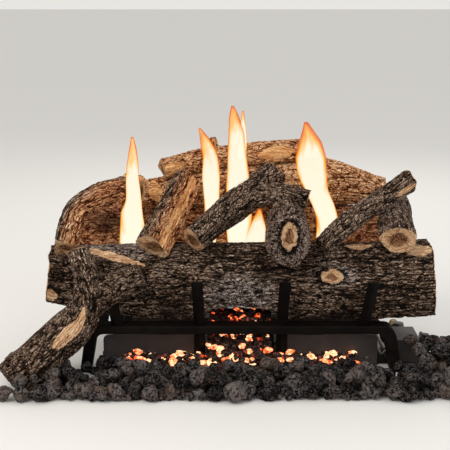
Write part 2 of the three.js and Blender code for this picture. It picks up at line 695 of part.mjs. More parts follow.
// The stem's key slides in the plug's slot, so that the knob turns the plug at any depth
function makeStem() {
  const { radius, keyWidth, keyLength } = stem;
  const left = plugRight + seatGap + knob.push;
  const y = valve.y;
  const shaft = rod("x", radius, stemRight - left, [left, y, valveZ], 12);
  const flat = block(knobLeft, stemRight + overrun, y - overrun, y + overrun, valveZ + stemLand, valveZ + 2 * radius);
  const half = keyWidth / 2;
  const reach = radius * 0.9;
  const key = block(plugRight - keyLength, left + half, y - half, y + half, valveZ - reach, valveZ + reach);
  return join(cut(shaft, flat), key);
}

function makeKnob() {
  const { radius, length, skirtRadius, skirtLength, grips, gripRadius, boreDepth, crown } = knob;
  const y = valve.y;
  const rim = radius * 0.94;
  const profile = [
    [0, 0],
    [skirtRadius - crown / 2, 0],
    [skirtRadius, crown / 2],
    [skirtRadius, skirtLength - crown / 2],
    [radius, skirtLength],
    [rim, length - crown],
    [rim - crown, length],
    [0, length],
  ];
  const scallops = Array.from({ length: grips }, (_, i) => {
    const a = (i / grips) * 2 * Math.PI;
    const reach = radius + gripRadius / 3;
    const place = [knobLeft + skirtLength, y + reach * Math.sin(a), valveZ + reach * Math.cos(a)];
    return rod("x", gripRadius, length, place, 6);
  });
  const bore = rod("x", stem.radius + seatGap, boreDepth + overrun, [knobLeft - overrun, y, valveZ], 10);
  const land = valveZ + stemLand + seatGap;
  const key = block(knobLeft - 2 * overrun, stemRight + overrun, y - radius, y + radius, land, valveZ + radius);
  return cut(turned("x", profile, [knobLeft, y, valveZ], 16), cut(bore, key), ...scallops);
}

// The hood: front, top and right walls, a short drop down its left side and an open back
function makeCover() {
  const { right, frontY, width, length, top, wall, sideDrop } = cover;
  const left = right - width;
  const low = shelfTop + seatGap;
  const [near, far, under] = [frontY + wall, coverRearY + overrun, low - overrun];
  const outer = block(left, right, frontY, frontY + length, low, top);
  const inner = block(left + wall, right - wall, near, far, under, top - wall);
  const side = block(left - overrun, left + 2 * wall, near, far, under, top - sideDrop);
  const bossHole = drill("x", bonnet.bossRadius + seatGap, wall, [right - wall, valve.y, valveZ], 16);
  const piezoHole = drill("x", piezo.radius + seatGap, wall, [right - wall, piezoY, valveZ], 16);
  return cut(outer, inner, side, bossHole, piezoHole);
}

// Shelf clamped on the tray's floor
function makeShelf() {
  const right = cover.right + shelf.overhang;
  const frontY = tray.frontY + tray.sheet + seatGap;
  return block(shelf.left, right, frontY, coverRearY, tray.sheet + seatGap, shelfTop);
}

// Push igniter: its barrel passes through the hood's wall and its button slides in the barrel
const piezoRight = cover.right + seatGap + piezo.flangeThick;

function makePiezo() {
  const { radius, length, flangeRadius, flangeThick, terminalRadius, terminal } = piezo;
  const left = piezoRight - length;
  const barrel = rod("x", radius, length, [left, piezoY, valveZ], 16);
  const flange = rod("x", flangeRadius, flangeThick, [piezoRight - flangeThick, piezoY, valveZ], 16);
  const post = rod("x", terminalRadius, 2 * terminal, [left - terminal, piezoY, valveZ], 10);
  const depth = button.depth + button.travel + runGap;
  const well = rod("x", button.radius + runGap, depth + overrun, [piezoRight - depth, piezoY, valveZ], 16);
  return cut(join(barrel, flange, post), well);
}

function makeButton() {
  const { radius, proud, depth, crown } = button;
  const length = depth + proud;
  const profile = [
    [0, 0],
    [radius, 0],
    [radius, length - crown],
    [radius - crown, length],
    [0, length],
  ];
  return turned("x", profile, [piezoRight - depth, piezoY, valveZ], 16);
}

add("control_shelf", makeShelf(), "steel");
add("valve_body", makeValve(), "casting");
add("valve_plug", makePlug(), "brass");
add("valve_bonnet", makeBonnet(), "casting");
add("valve_stem", makeStem(), "zinc");
add("control_knob", makeKnob(), "plastic");
const controlCover = add("control_cover", makeCover(), "panelSteel");
add("piezo_igniter", makePiezo(), "plastic");
add("igniter_button", makeButton(), "plastic");

// Pressure regulator and the inlet that the gas line screws on to, in line behind the valve
const regulatorFront = valve.y + valve.length / 2 + seatGap;
const regulatorY = regulatorFront + regulator.neck + regulator.radius;
const inletY = regulatorY + regulator.radius + regulator.neck + seatGap;

function makeRegulator() {
  const { radius, height, capRadius, capHeight, neckRadius, rim } = regulator;
  const profile = [
    [0, 0],
    [radius - rim, 0],
    [radius - rim, height / 2 - rim],
    [radius, height / 2 - rim],
    [radius, height / 2 + rim],
    [radius - rim, height / 2 + rim],
    [capRadius + rim, height],
    [capRadius, height + capHeight],
    [0, height + capHeight],
  ];
  const body = turned("z", profile, [valveX, regulatorY, valveZ - height / 2], 12);
  const reach = inletY - seatGap - regulatorFront;
  const neckAt = [valveX, regulatorFront, valveZ];
  return cut(join(body, rod("y", neckRadius, reach, neckAt, 12)), drill("y", valve.portRadius, reach, neckAt, 8));
}

function makeInlet() {
  const { hexRadius, hexLength, nippleRadius, nippleLength, bore } = inlet;
  const at = [valveX, inletY, valveZ];
  const hex = rod("y", hexRadius, hexLength, at, 6);
  const nipple = rod("y", nippleRadius, hexLength + nippleLength, at, 18);
  return cut(join(hex, nipple), drill("y", bore, hexLength + nippleLength, at, 12));
}

add("pressure_regulator", makeRegulator(), "casting");
add("gas_inlet_fitting", makeInlet(), "brass");

// Supply pipe from the valve to the orifice
const supplyPoints = [
  [valveLeft - seatGap, valve.y, valveZ],
  [supply.x, valve.y, valveZ],
  [supply.x, burner.y, burner.z],
  [orificeRight + seatGap, burner.y, burner.z],
];
const supplyBore = { bore: supply.radius - supply.wall, sides: 6, steps: 12 };
add("burner_supply_pipe", bent(supplyPoints, supply.radius, supply.bend, supplyBore), "copper");

// Front burner on the hearth under the embers, and its feed from the rear burner
const frontHalf = frontBurner.length / 2;

function makeFrontBurner() {
  const { radius, wall, length, y, z, footWidth, footSpread } = frontBurner;
  const profile = [
    [0, 0],
    [radius, 0],
    [radius, length],
    [0, length],
    [0, length - wall],
    [radius - wall, length - wall],
    [radius - wall, wall],
    [0, wall],
  ];
  const tube = turned("x", profile, [-frontHalf, y, z], 10);
  const feet = [-footSpread / 2, footSpread / 2].map((x) => {
    return block(x - footWidth / 2, x + footWidth / 2, y - radius / 2, y + radius / 2, 0, z - radius + wall);
  });
  const tap = rod("y", feed.radius - supply.wall, radius + overrun, [feed.x, y, z], 8);
  return cut(join(tube, ...feet), ...portRow(-frontHalf, frontHalf, y, z + radius), tap);
}

add("front_burner_tube", makeFrontBurner(), "burnerSteel");
const feedPoints = [
  [feed.x, burner.y, burner.z],
  [feed.x, burner.y, frontBurner.z],
  [feed.x, frontBurner.y, frontBurner.z],
];
const rearHull = rod("x", burner.radius + seatGap, burner.length, [burnerLeft, burner.y, burner.z], 14);
const frontHull = rod("x", frontBurner.radius + seatGap, 2 * frontHalf, [-frontHalf, frontBurner.y, frontBurner.z], 10);
const footHalf = frontBurner.footWidth / 2 + seatGap;
const footDepth = frontBurner.radius / 2 + seatGap;
const frontSpace = [-1, 1].reduce((space, side) => {
  const x = (side * frontBurner.footSpread) / 2;
  const { y, z } = frontBurner;
  return space.add(block(x - footHalf, x + footHalf, y - footDepth, y + footDepth, -overrun, z));
}, frontHull);
const feedBore = { bore: feed.radius - supply.wall, sides: 6, steps: 9 };
add("front_burner_feed", cut(bent(feedPoints, feed.radius, feed.bend, feedBore), rearHull, frontHull), "copper");

// Ember ramp: a sloping sheet through the panel's notch, with cheeks down to the tray
const rampSlope = (ramp.rearZ - ramp.frontZ) / (ramp.rearY - ramp.frontY);
const rampTop = (y) => ramp.frontZ + rampSlope * (y - ramp.frontY);

function makeRamp() {
  const { width, sheet, frontY, rearY, frontZ, rearZ } = ramp;
  const low = tray.sheet + seatGap;
  const near = tray.frontY + tray.sheet + overrun;
  const plate = [
    [frontY, frontZ],
    [frontY, frontZ - sheet],
    [rearY, rearZ - sheet],
    [rearY, rearZ],
  ];
  const cheek = [
    [near, low],
    [rearY, low],
    [rearY, rearZ - sheet / 2],
    [near, rampTop(near) - sheet / 2],
  ];
  const cheeks = [-width / 2, width / 2 - sheet].map((x) => drawnOut(cheek, x, sheet));
  return join(drawnOut(plate, -width / 2, width), ...cheeks);
}

add("ember_ramp", makeRamp(), "steel");

// Pilot bracket with three holes set in a stagger, so that the lines below run side by side
const places = [-1, 0, 1].map((side) => [pilot.x + side * pilot.pitch, pilot.y - side * pilot.stagger]);
const [sensorAt, pilotAt, sparkAt] = places;
const plateFront = burner.y + burner.radius + pilot.clear;

function makePilotBracket() {
  const { x, pitch, plateZ, plate, foot, edge } = pilot;
  const low = tray.sheet + seatGap;
  const back = sensorAt[1] + edge;
  const profile = [
    [plateFront, plateZ],
    [back - plate, plateZ],
    [back - plate, low + plate],
    [back - foot, low + plate],
    [back - foot, low],
    [back, low],
    [back, plateZ + plate],
    [plateFront, plateZ + plate],
  ];
  const half = pitch + edge;
  const radii = [sensor.radius, pilotTube.radius, spark.radius];
  const holes = places.map(([hx, hy], i) => drill("z", radii[i] + seatGap, plate, [hx, hy, plateZ], 12));
  const gate = block(x - pitch, x + pitch, back - 2 * plate, back + plate / 2, low + 2 * plate, plateZ - edge);
  return cut(drawnOut(profile, x - half, 2 * half), ...holes, gate);
}

function makePilotTube() {
  const { radius, below, above, hoodRadius, hoodHeight, slot } = pilotTube;
  const [x, y] = pilotAt;
  const start = pilot.plateZ - below;
  const top = pilot.plateZ + above;
  const tube = rod("z", radius, below + above, [x, y, start], 14);
  const hood = rod("z", hoodRadius, hoodHeight, [x, y, top], 14);
  const boreLength = below + above + hoodHeight / 2 + overrun;
  const bore = rod("z", line.gasRadius / 2, boreLength, [x, y, start - overrun], 10);
  const half = slot / 2;
  const mouth = block(x - half, x + half, y - 2 * hoodRadius, y + half, top + hoodHeight / 4, top + hoodHeight * 0.75);
  return cut(join(tube, hood), bore, mouth);
}

// The three lines leave their fittings downwards, run right in lanes and turn back to the controls
function laneLine([x, y], startZ, lane, end, radius) {
  const turnX = line.firstX + lane * line.lane;
  const points = [
    [x, y, startZ],
    [x, y, line.z],
    [turnX, y, line.z],
    [turnX, end[1], line.z],
    end,
  ];
  if (end[2] !== line.z) points.splice(4, 0, [turnX, end[1], end[2]]);
  return bent(points, radius, line.bend, { sides: 5, steps: 18 });
}

const portInset = valve.length / 2 - line.bend;
const pilotEnd = [valveLeft - seatGap, valve.y - portInset, line.z];
const sensorEnd = [valveLeft - seatGap, valve.y + portInset, line.z];
const sparkEnd = [piezoRight - piezo.length - piezo.terminal - seatGap, piezoY, valveZ];

function makeSensor() {
  const [x, y] = sensorAt;
  const { radius, above, nutRadius, nutHeight, below } = sensor;
  const start = pilot.plateZ - below;
  const probe = rod("z", radius, below + above, [x, y, start], 12);
  const nut = rod("z", nutRadius, nutHeight, [x, y, pilot.plateZ - seatGap - nutHeight], 6);
  const lead = laneLine(sensorAt, start + below / 2, 2, sensorEnd, line.sensorRadius);
  return join(probe, nut, lead);
}

function makeSpark() {
  const [x, y] = sparkAt;
  const { radius, above, below, tipRadius, tip } = spark;
  const start = pilot.plateZ - below;
  const high = pilot.plateZ + above;
  const insulator = rod("z", radius, below + above, [x, y, start], 12);
  const wire = [
    [x, y, high - tipRadius],
    [x, y, high + tip / 2],
    [x - tip, y, high + tip / 2],
  ];
  const prong = bent(wire, tipRadius, tip / 4, { sides: 5, steps: 6 });
  return join(insulator, prong, laneLine(sparkAt, start + below / 2, 0, sparkEnd, line.wireRadius));
}

const pilotLow = pilot.plateZ - pilotTube.below - seatGap;
add("pilot_bracket", makePilotBracket(), "steel");
add("pilot_burner", makePilotTube(), "burnerSteel");
add("pilot_gas_tube", laneLine(pilotAt, pilotLow, 1, pilotEnd, line.gasRadius), "copper");
add("thermocouple", makeSensor(), "copper");
add("spark_electrode", makeSpark(), "ceramicWhite");

// Bark: a few lobes round the log and lumps along it
function barkRelief(share, seed, along, around) {
  const { lobes, fineLobes, lumps, twist } = barkShape;
  const coarse = Math.sin(lobes * around + twist * along + seed);
  const fine = Math.sin(fineLobes * around - twist * along + 2 * seed);
  const swells = Math.sin(lumps * along + seed) + 0.6 * Math.sin(2 * around + 2 * lumps * along + seed);
  return 1 + share * (0.6 * coarse + 0.4 * fine + 0.5 * swells);
}

function shareAt(shares, along) {
  const place = THREE.MathUtils.clamp(along, 0, 1) * (shares.length - 1);
  const low = Math.min(Math.floor(place), shares.length - 2);
  return THREE.MathUtils.lerp(shares[low], shares[low + 1], place - low);
}

const backwards = new THREE.Vector3(0, 1, 0);
const upwards = new THREE.Vector3(0, 0, 1);
const leftwards = new THREE.Vector3(-1, 0, 0);

// A log lofted through rings along a curved line, with a sawn face on each end.
// Facets flatten it: each is a turn round the log and the share of the radius that is left there.
// An under power above 2 squares off the half below the centre line.
function logBody(points, spec, { rings, sides, side = backwards, facets = [] }) {
  const path = new THREE.CatmullRomCurve3(points, false, "centripetal");
  const halfWide = spec.radius ?? spec.wide / 2;
  const halfTall = spec.radius ?? spec.tall / 2;
  const power = spec.underPower ?? 2;
  const positions = [];
  const index = [];
  for (let r = 0; r <= rings; r++) {
    const along = r / rings;
    const ahead = path.getTangentAt(along);
    const up = ahead.clone().cross(side).normalize();
    const across = up.clone().cross(ahead);
    for (let s = 0; s < sides; s++) {
      const around = (s / sides) * 2 * Math.PI;
      const bark = barkRelief(spec.barkShare, spec.seed, along, around);
      const flats = facets.map(([turn, share]) => share / Math.max(share / 4, Math.cos(around - turn)));
      const bulge = Math.abs(Math.cos(around)) ** power + Math.abs(Math.sin(around)) ** power;
      const under = Math.sin(around) < 0 ? bulge ** (-1 / power) : 1;
      const size = shareAt(spec.girthShares, along) * Math.min(bark * under, ...flats);
      const point = path.getPointAt(along);
      point.addScaledVector(across, halfWide * size * Math.cos(around));
      point.addScaledVector(up, halfTall * size * Math.sin(around));
      positions.push(...point.toArray());
    }
  }
  const last = rings * sides;
  const [first, end] = [last + sides, last + sides + 1];
  positions.push(...path.getPointAt(0).toArray(), ...path.getPointAt(1).toArray());
  for (let s = 0; s < sides; s++) {
    const next = (s + 1) % sides;
    index.push(first, s, next, end, last + next, last + s);
    for (let r = 0; r < rings; r++) {
      const [a, b] = [r * sides + s, r * sides + next];
      index.push(a, a + sides, b, b, a + sides, b + sides);
    }
  }
  const geometry = new THREE.BufferGeometry();
  geometry.setAttribute("position", new THREE.Float32BufferAttribute(positions, 3));
  geometry.setIndex(index);
  return solid(geometry);
}

// The centre line of a log that lies along X
function lyingPoints(spec, centreAt) {
  const last = spec.lineShares.length - 1;
  return spec.lineShares.map((share, i) => {
    const x = spec.x + (i / last - 0.5) * spec.length;
    return new THREE.Vector3(x, spec.y + share * spec.wide, centreAt(x, i));
  });
}

// The height of a lying log's crest over a place along X
function crestAt(points, spec, x) {
  const along = (x - points[0].x) / (points.at(-1).x - points[0].x);
  return shareAt(points.map((p) => p.z), along) + (spec.tall / 2) * shareAt(spec.girthShares, along);
}

// A sawn branch stub: a low raised oval rim round a flat face, on an axis that points out of the log
function knotBody({ radius, rimRadius, height, tallShare }, at, direction) {
  const profile = [
    [0, -rimRadius],
    [rimRadius, -rimRadius],
    [rimRadius, 0],
    [(radius + rimRadius) / 2, height],
    [radius, height],
    [radius * 0.9, height / 2],
    [0, height / 2],
  ].map(([r, h]) => new THREE.Vector2(r, h));
  const across = direction.clone().cross(upwards).normalize();
  const turn = new THREE.Matrix4().makeBasis(across, direction, across.clone().cross(direction));
  const geometry = new THREE.LatheGeometry(profile, 12).scale(1, 1, tallShare);
  return solid(geometry.applyMatrix4(turn).translate(at.x, at.y, at.z));
}

// Front log, flat below, arched in the middle and seated on the grate
const frontBase = rail.top + seatGap + (frontLog.flatShare * frontLog.tall) / 2;
const frontPoints = lyingPoints(frontLog, (x, i) => frontBase + frontLog.riseShares[i] * frontLog.tall);
const frontCrest = rail.top + seatGap + ((1 + frontLog.flatShare) * frontLog.tall) / 2;
const frontFace = frontLog.y - frontLog.wide / 2;

// A spindle on the front log's skin, whose point at each end runs out to nothing
function crackBody([along, turn, lengthShare, climbShare]) {
  const half = (lengthShare * frontLog.length) / 2;
  const profile = [
    [0, -half],
    [crack.radius, 0],
    [0, half],
  ];
  const slope = new THREE.Matrix4().makeRotationY(-Math.atan(climbShare / lengthShare));
  const around = turn * 2 * Math.PI;
  const skin = {
    x: frontLog.x + along * frontLog.length,
    y: frontLog.y + (frontLog.wide / 2) * Math.cos(around),
    z: frontBase + (frontLog.tall / 2) * Math.sin(around),
  };
  const points = profile.map(([radius, reach]) => new THREE.Vector2(radius, reach));
  const geometry = turns.x(new THREE.LatheGeometry(points, crack.sides)).applyMatrix4(slope);
  return solid(geometry.translate(skin.x, skin.y, skin.z));
}

function makeFrontLog() {
  const facets = [[-Math.PI / 2, frontLog.flatShare]];
  const body = logBody(frontPoints, frontLog, { rings: 16, sides: 16, facets });
  const knotZ = frontBase + knot.riseShare * frontLog.tall;
  const knotAt = new THREE.Vector3(knot.xShare * frontLog.length, frontFace, knotZ);
  const facing = new THREE.Vector3(0.1, -1, 0.15).normalize();
  const [low, flat] = [arch.width / 2, arch.topWidth / 2];
  const shape = new THREE.Shape();
  shape.moveTo(-low, -overrun);
  shape.lineTo(low, -overrun);
  shape.lineTo(low, 0);
  shape.quadraticCurveTo(flat, arch.rise, flat / 2, arch.rise);
  shape.lineTo(-flat / 2, arch.rise);
  shape.quadraticCurveTo(-flat, arch.rise, -low, 0);
  const opening = standing(shape, frontFace - frontLog.wide, 3 * frontLog.wide);
  const whole = join(body, knotBody(knot, knotAt, facing));
  return cut(whole, opening.translate([0, 0, rail.top + seatGap]), ...crack.placeShares.map(crackBody));
}

const front = add("front_log", seated(makeFrontLog(), frontRail, ...grateBars, ...fingers), "charredBark");

// Rear log on its two rests, the upper log on the rear log and the top log on the upper log
const rearBase = logRest.height + seatGap + (rearLog.flatShare * rearLog.tall) / 2;
const rearPoints = lyingPoints(rearLog, (x, i) => rearBase + rearLog.riseShares[i] * rearLog.tall);
const rearFacets = [[-Math.PI / 2, rearLog.flatShare]];
const rearBody = logBody(rearPoints, rearLog, { rings: 10, sides: 10, facets: rearFacets });
const rear = add("rear_log", seated(rearBody, restLeft, restRight, rearFrame, ...grateBars), "warmBark");

function restingOn(points, below, spec) {
  return lyingPoints(spec, (x, i) => {
    const half = (spec.tall / 2) * spec.girthShares[Math.min(i, spec.girthShares.length - 1)];
    return crestAt(points, below, x) + half - spec.bedShare * spec.tall;
  });
}

const upperPoints = restingOn(rearPoints, rearLog, upperLog);
const upperBody = logBody(upperPoints, upperLog, { rings: 10, sides: 10 });
const upper = add("upper_rear_log", seated(upperBody, rear), "warmBark");
const upperCrest = crestAt(upperPoints, upperLog, upperLog.x);

function makeTopLog() {
  const points = restingOn(upperPoints, upperLog, topLog);
  const x = topLog.x + topStub.xShare * topLog.length;
  const at = [x, topLog.y, crestAt(points, topLog, x) - topStub.height / 2];
  const stub = rod("z", topStub.radius, topStub.height, at, 10, topStub.radius * topStub.tipShare);
  return join(logBody(points, topLog, { rings: 8, sides: 10 }), stub);
}

const top = add("top_log", seated(makeTopLog(), upper, rear), "warmBark");

// Centre lines of the logs that lean from the front log on to the rear ones
function leaningPoints(spec) {
  const half = spec.radius ?? spec.tall / 2;
  return spec.pointShares.map(([along, back, climb, own]) => {
    const y = THREE.MathUtils.lerp(frontLog.y, rearLog.y, back);
    const z = THREE.MathUtils.lerp(frontCrest, upperCrest, climb) + own * half;
    return new THREE.Vector3(along * frontLog.length, y, z);
  });
}

const stubPoints = leaningPoints(stubLog);
const stubBody = logBody(stubPoints, stubLog, { rings: 6, sides: 12, side: leftwards });
const stubFace = new THREE.Vector3().subVectors(stubPoints[0], stubPoints[1]).normalize();
const stubWhole = join(stubBody, knotBody(stubKnot, stubPoints[0], stubFace));
const stub = add("centre_stub_log", seated(stubWhole, front, rear, upper), "charredBark");

const endBody = logBody(leaningPoints(endLog), endLog, { rings: 7, sides: 10, side: leftwards });
const end = add("right_end_log", seated(endBody, front, rear, upper), "charredBark");

const splitFacets = [[Math.PI * 0.85, 0.45]];
const splitSettings = { rings: 7, sides: 12, side: leftwards, facets: splitFacets };
const splitBody = logBody(leaningPoints(splitLog), splitLog, splitSettings);
const split = add("split_twig_log", seated(splitBody, front, rear, upper, top), "warmBark");

const crossBody = logBody(leaningPoints(crossLog), crossLog, { rings: 10, sides: 10 });
const limbBody = logBody(leaningPoints(crossLimb), crossLimb, { rings: 4, sides: 8 });
const crossBranch = seated(join(crossBody, limbBody), front, upper, top, split, stub);
add("centre_forked_branch", crossBranch, "charredBark");

const branchBody = logBody(leaningPoints(branchLog), branchLog, { rings: 10, sides: 10 });
add("right_crossing_branch", seated(branchBody, front, end, stub, crossBranch, upper), "charredBark");

const archBody = logBody(leaningPoints(archLog), archLog, { rings: 14, sides: 10 });
const archPiece = add("left_arch_log", seated(archBody, front, rear, upper), "warmBark");

// The forked log leans on the front log's left end from the hearth
function frontLeaning(spec) {
  return spec.pointShares.map(([along, out, height]) => {
    return new THREE.Vector3(along * frontLog.length, frontFace + out * forkLog.reach, height * frontCrest);
  });
}

const ground = 2 * frontLog.length;
const hearth = block(-ground, ground, -ground, ground, -ground, 0);
const trunkBody = logBody(frontLeaning(forkLog), forkLog, { rings: 12, sides: 11 });
const forkBody = logBody(frontLeaning(forkLimb), forkLimb, { rings: 5, sides: 9 });
const forkWhole = cut(join(trunkBody, forkBody), hearth);
const forked = seated(forkWhole, front, archPiece, frontRail, frontPanel, ...fingers);
add("front_left_forked_log", forked, "charredBark");

// A repeatable spread of values between -0.5 and 0.5
function chance(...seeds) {
  const mixed = Math.sin(seeds.reduce((sum, seed, i) => sum + seed * (12.9898 + 37.719 * i), 1)) * 43758.5453;
  return mixed - Math.floor(mixed) - 0.5;
}

// One broken lump
function lump(kind, shape, place) {
  const geometry = welded(shape);
  const at = geometry.attributes.position;
  for (let i = 0; i < at.count; i++) {
    const point = new THREE.Vector3().fromBufferAttribute(at, i);
    point.multiplyScalar(1 + kind.unevenShare * chance(place.seed, i));
    at.setXYZ(i, point.x, point.y, point.z * kind.squashShare);
  }
  geometry.rotateZ(chance(place.seed, 7) * 2 * Math.PI);
  return solid(geometry.translate(place.x, place.y, place.z));
}

// A bed of lumps bedded in the fines below them
function lumpBed(kind, shape, found, ...fines) {
  return wasm.Manifold.union([...found.map((place) => lump(kind, shape, place)), ...fines]);
}

// Lava rock in rows, with more rows beside each end of the grate and a second layer on the right
function rockPlaces() {
  const found = [];
  const columns = Math.round(rockField.halfLength / rock.pitch);
  const rows = Math.round((rockField.sideY - rockField.frontY) / rock.pitch);
  const low = rock.radius * rock.squashShare * 0.8;
  for (let i = -columns; i <= columns; i++) {
    for (let j = 0; j <= rows; j++) {
      const x = (i + (j % 2) / 2 + rock.spreadShare * chance(i, j, 1)) * rock.pitch;
      const y = rockField.frontY + (j + rock.spreadShare * chance(i, j, 2)) * rock.pitch;
      const last = Math.abs(x) > rockField.sideStart ? rockField.sideY : rockField.rearY;
      if (y < last + rock.pitch / 2) found.push({ x, y, z: low, seed: i + 31 * j });
    }
  }
  for (let i = 0; i * rock.pitch <= 2 * pile.halfLength; i++) {
    const x = pile.x - pile.halfLength + i * rock.pitch;
    found.push({ x, y: pile.y + pile.depth * chance(i, 5), z: 2.6 * low, seed: i + 500 });
  }
  return found;
}

const emberClear = frontHalf + ember.radius;
const emberSpace = block(-emberClear, emberClear, emberBed.frontY, 0, -overrun, cover.top);
const allRocks = rockPlaces();
const fieldEnd = rockField.halfLength + 2 * rock.pitch;
const bedSpan = (2 * fieldEnd) / rockField.beds;

// The fines between the rocks of one bed, widened behind the last row beside the grate
function rockFines(left, right) {
  const [x0, x1] = [Math.max(left, -rockField.halfLength), Math.min(right, rockField.halfLength)];
  const fines = block(x0, x1, rockField.frontY, rockField.rearY, 0, rock.pad);
  const start = rockField.sideStart;
  const beside = [
    [Math.max(x0, start), x1],
    [x0, Math.min(x1, -start)],
  ].filter(([a, b]) => b > a);
  return beside.reduce((all, [a, b]) => all.add(block(a, b, rockField.frontY, rockField.sideY, 0, rock.pad)), fines);
}

for (let bed = 0; bed < rockField.beds; bed++) {
  const left = -fieldEnd + bed * bedSpan;
  const right = left + bedSpan;
  const mine = allRocks.filter((place) => place.x > left - rock.pitch && place.x < right + rock.pitch);
  const whole = lumpBed(rock, new THREE.OctahedronGeometry(rock.radius, 0), mine, rockFines(left, right));
  const stretch = block(left, right - seatGap, -ground, 0, 0, ground);
  const found = cut(whole.intersect(stretch), emberSpace);
  add(`lava_rock_bed_${bed + 1}`, seated(found, forked, frontRail, controlCover), "lava");
}

// Embers over the front burner; the middle bed climbs the ramp and heaps up behind the grate's front bar
const emberFront = emberBed.frontY + seatGap;
const inPanel = panelY - seatGap;

function overTube(y) {
  const off = (y - frontBurner.y) / (2 * frontBurner.radius);
  return frontBurner.z + emberBed.heap * Math.exp(-off * off);
}

function emberHeap(left, right, rearY, heightAt) {
  const found = [];
  const columns = Math.round((right - left) / ember.pitch);
  const rows = Math.round((rearY - emberFront) / ember.pitch);
  for (let i = 0; i <= columns; i++) {
    for (let j = 0; j < rows; j++) {
      const x = left + ((right - left) * i) / columns + ember.pitch * ember.spreadShare * chance(i, j, 3);
      const y = emberFront + (j + 0.5) * ember.pitch;
      found.push({ x, y, z: heightAt(y) + ember.uneven * chance(i, j, 4), seed: i + 17 * j });
    }
  }
  const steps = 2 * rows;
  const top = Array.from({ length: steps + 1 }, (_, k) => {
    const y = emberFront + ((rearY - emberFront) * k) / steps;
    return [y, heightAt(y) - ember.uneven / 2];
  });
  const fines = drawnOut([[rearY, 0], ...top.reverse(), [emberFront, 0]], left, right - left);
  return lumpBed(ember, new THREE.OctahedronGeometry(ember.radius, 0), found, fines);
}

const feedLength = inPanel - frontBurner.y;
const feedSpace = drill("y", feed.radius + 2 * seatGap, feedLength, [feed.x, frontBurner.y, frontBurner.z], 12);
const sideLimits = block(-ground, ground, emberFront, inPanel, 0, railUnder - seatGap);
for (const [name, left] of [
  ["ember_bed_left", -emberBed.sideEnd],
  ["ember_bed_right", emberBed.sideStart],
]) {
  const bed = emberHeap(left, left + emberBed.sideEnd - emberBed.sideStart, inPanel, overTube);
  add(name, seated(cut(bed.intersect(sideLimits), frontSpace, feedSpace), frontRail, forked), "emberGlow");
}

const middle = ramp.width / 2 - seatGap;
const bankAt = (y) => Math.max(overTube(y), rampTop(y) + emberBed.bank);
const bankLimits = block(-middle, middle, emberFront, ramp.rearY, 0, frontBase);
const bank = emberHeap(-middle + ember.radius / 2, middle - ember.radius / 2, ramp.rearY, bankAt);
const overRamp = seatGap * Math.hypot(1, rampSlope);
const underRamp = [
  [ramp.frontY - seatGap, -overrun],
  [ramp.rearY + overrun, -overrun],
  [ramp.rearY + overrun, rampTop(ramp.rearY + overrun) + overRamp],
  [ramp.frontY - seatGap, rampTop(ramp.frontY - seatGap) + overRamp],
];
const rampSpace = drawnOut(underRamp, -ramp.width, 2 * ramp.width);
const bankRest = cut(bank.intersect(bankLimits), frontSpace, rampSpace);
add("ember_bed_centre", seated(bankRest, frontRail, front), "emberGlow");

export default root;
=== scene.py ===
"""Looks of a gas log set on a fixed frame: cast bark logs, embers, lava rock and heat-painted steel."""
import math
import random

import bmesh
import bpy
import numpy as np
from bpy.props import FloatProperty, FloatVectorProperty, IntProperty, PointerProperty
from mathutils import Matrix, Vector, noise


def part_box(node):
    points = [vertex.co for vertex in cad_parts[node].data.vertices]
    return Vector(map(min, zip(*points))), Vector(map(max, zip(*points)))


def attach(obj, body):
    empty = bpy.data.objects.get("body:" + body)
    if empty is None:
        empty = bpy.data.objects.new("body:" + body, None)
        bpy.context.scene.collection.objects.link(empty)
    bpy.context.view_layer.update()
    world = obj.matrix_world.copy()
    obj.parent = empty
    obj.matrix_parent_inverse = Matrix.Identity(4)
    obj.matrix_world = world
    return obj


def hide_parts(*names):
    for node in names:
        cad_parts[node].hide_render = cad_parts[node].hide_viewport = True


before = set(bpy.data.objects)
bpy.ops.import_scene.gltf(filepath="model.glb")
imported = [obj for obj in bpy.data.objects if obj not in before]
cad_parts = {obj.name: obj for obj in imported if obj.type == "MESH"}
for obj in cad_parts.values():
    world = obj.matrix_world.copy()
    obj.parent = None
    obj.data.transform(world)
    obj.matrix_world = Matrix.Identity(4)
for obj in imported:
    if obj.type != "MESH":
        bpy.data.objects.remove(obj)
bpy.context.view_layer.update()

bl_info = {
    "name": "Gas log set",
    "version": (1, 0, 0),
    "blender": (4, 5, 0),
    "location": "3D View > Sidebar > Log set",
    "description": "Builds the logs, embers, lava rock, finishes and stage of a gas log set round its frame",
    "category": "Add Mesh",
}

MM = 0.001
ROOT = "log_set"

# Without a seed of its own, the noise of vectors would differ from run to run
noise.seed_set(3)

# The camera: the tilt of its line of sight, its distance and the point that it looks at
CAMERA_TILT = math.radians(12)
CAMERA_AHEAD = Vector((0, math.cos(CAMERA_TILT), -math.sin(CAMERA_TILT)))
CAMERA_DISTANCE = 1.75
CAMERA_TARGET = Vector((-0.025, -0.06, 0.226))
CAMERA_LENS = 87.2
SENSOR = 36
IMAGE = 450


def tone(red, green, blue):
    """A colour given as it shows on screen, 0 to 255, turned to the linear values that a shader takes."""
    def linear(value):
        share = value / 255
        return share / 12.92 if share <= 0.04045 else ((share + 0.055) / 1.055) ** 2.4

    return (linear(red), linear(green), linear(blue), 1)


def smooth(low, high, value):
    """A soft step from 0 at low to 1 at high."""
    place = np.clip((value - low) / (high - low), 0, 1)
    return place * place * (3 - 2 * place)


# Shader tools
def maths(operation, turned=False):
    """An operator on fields: a Math node of both values, in their own order or turned round."""
    def join(first, second):
        pair = (second, first) if turned else (first, second)
        return first.shading.node("ShaderNodeMath", {"operation": operation}, dict(enumerate(pair)))

    return join


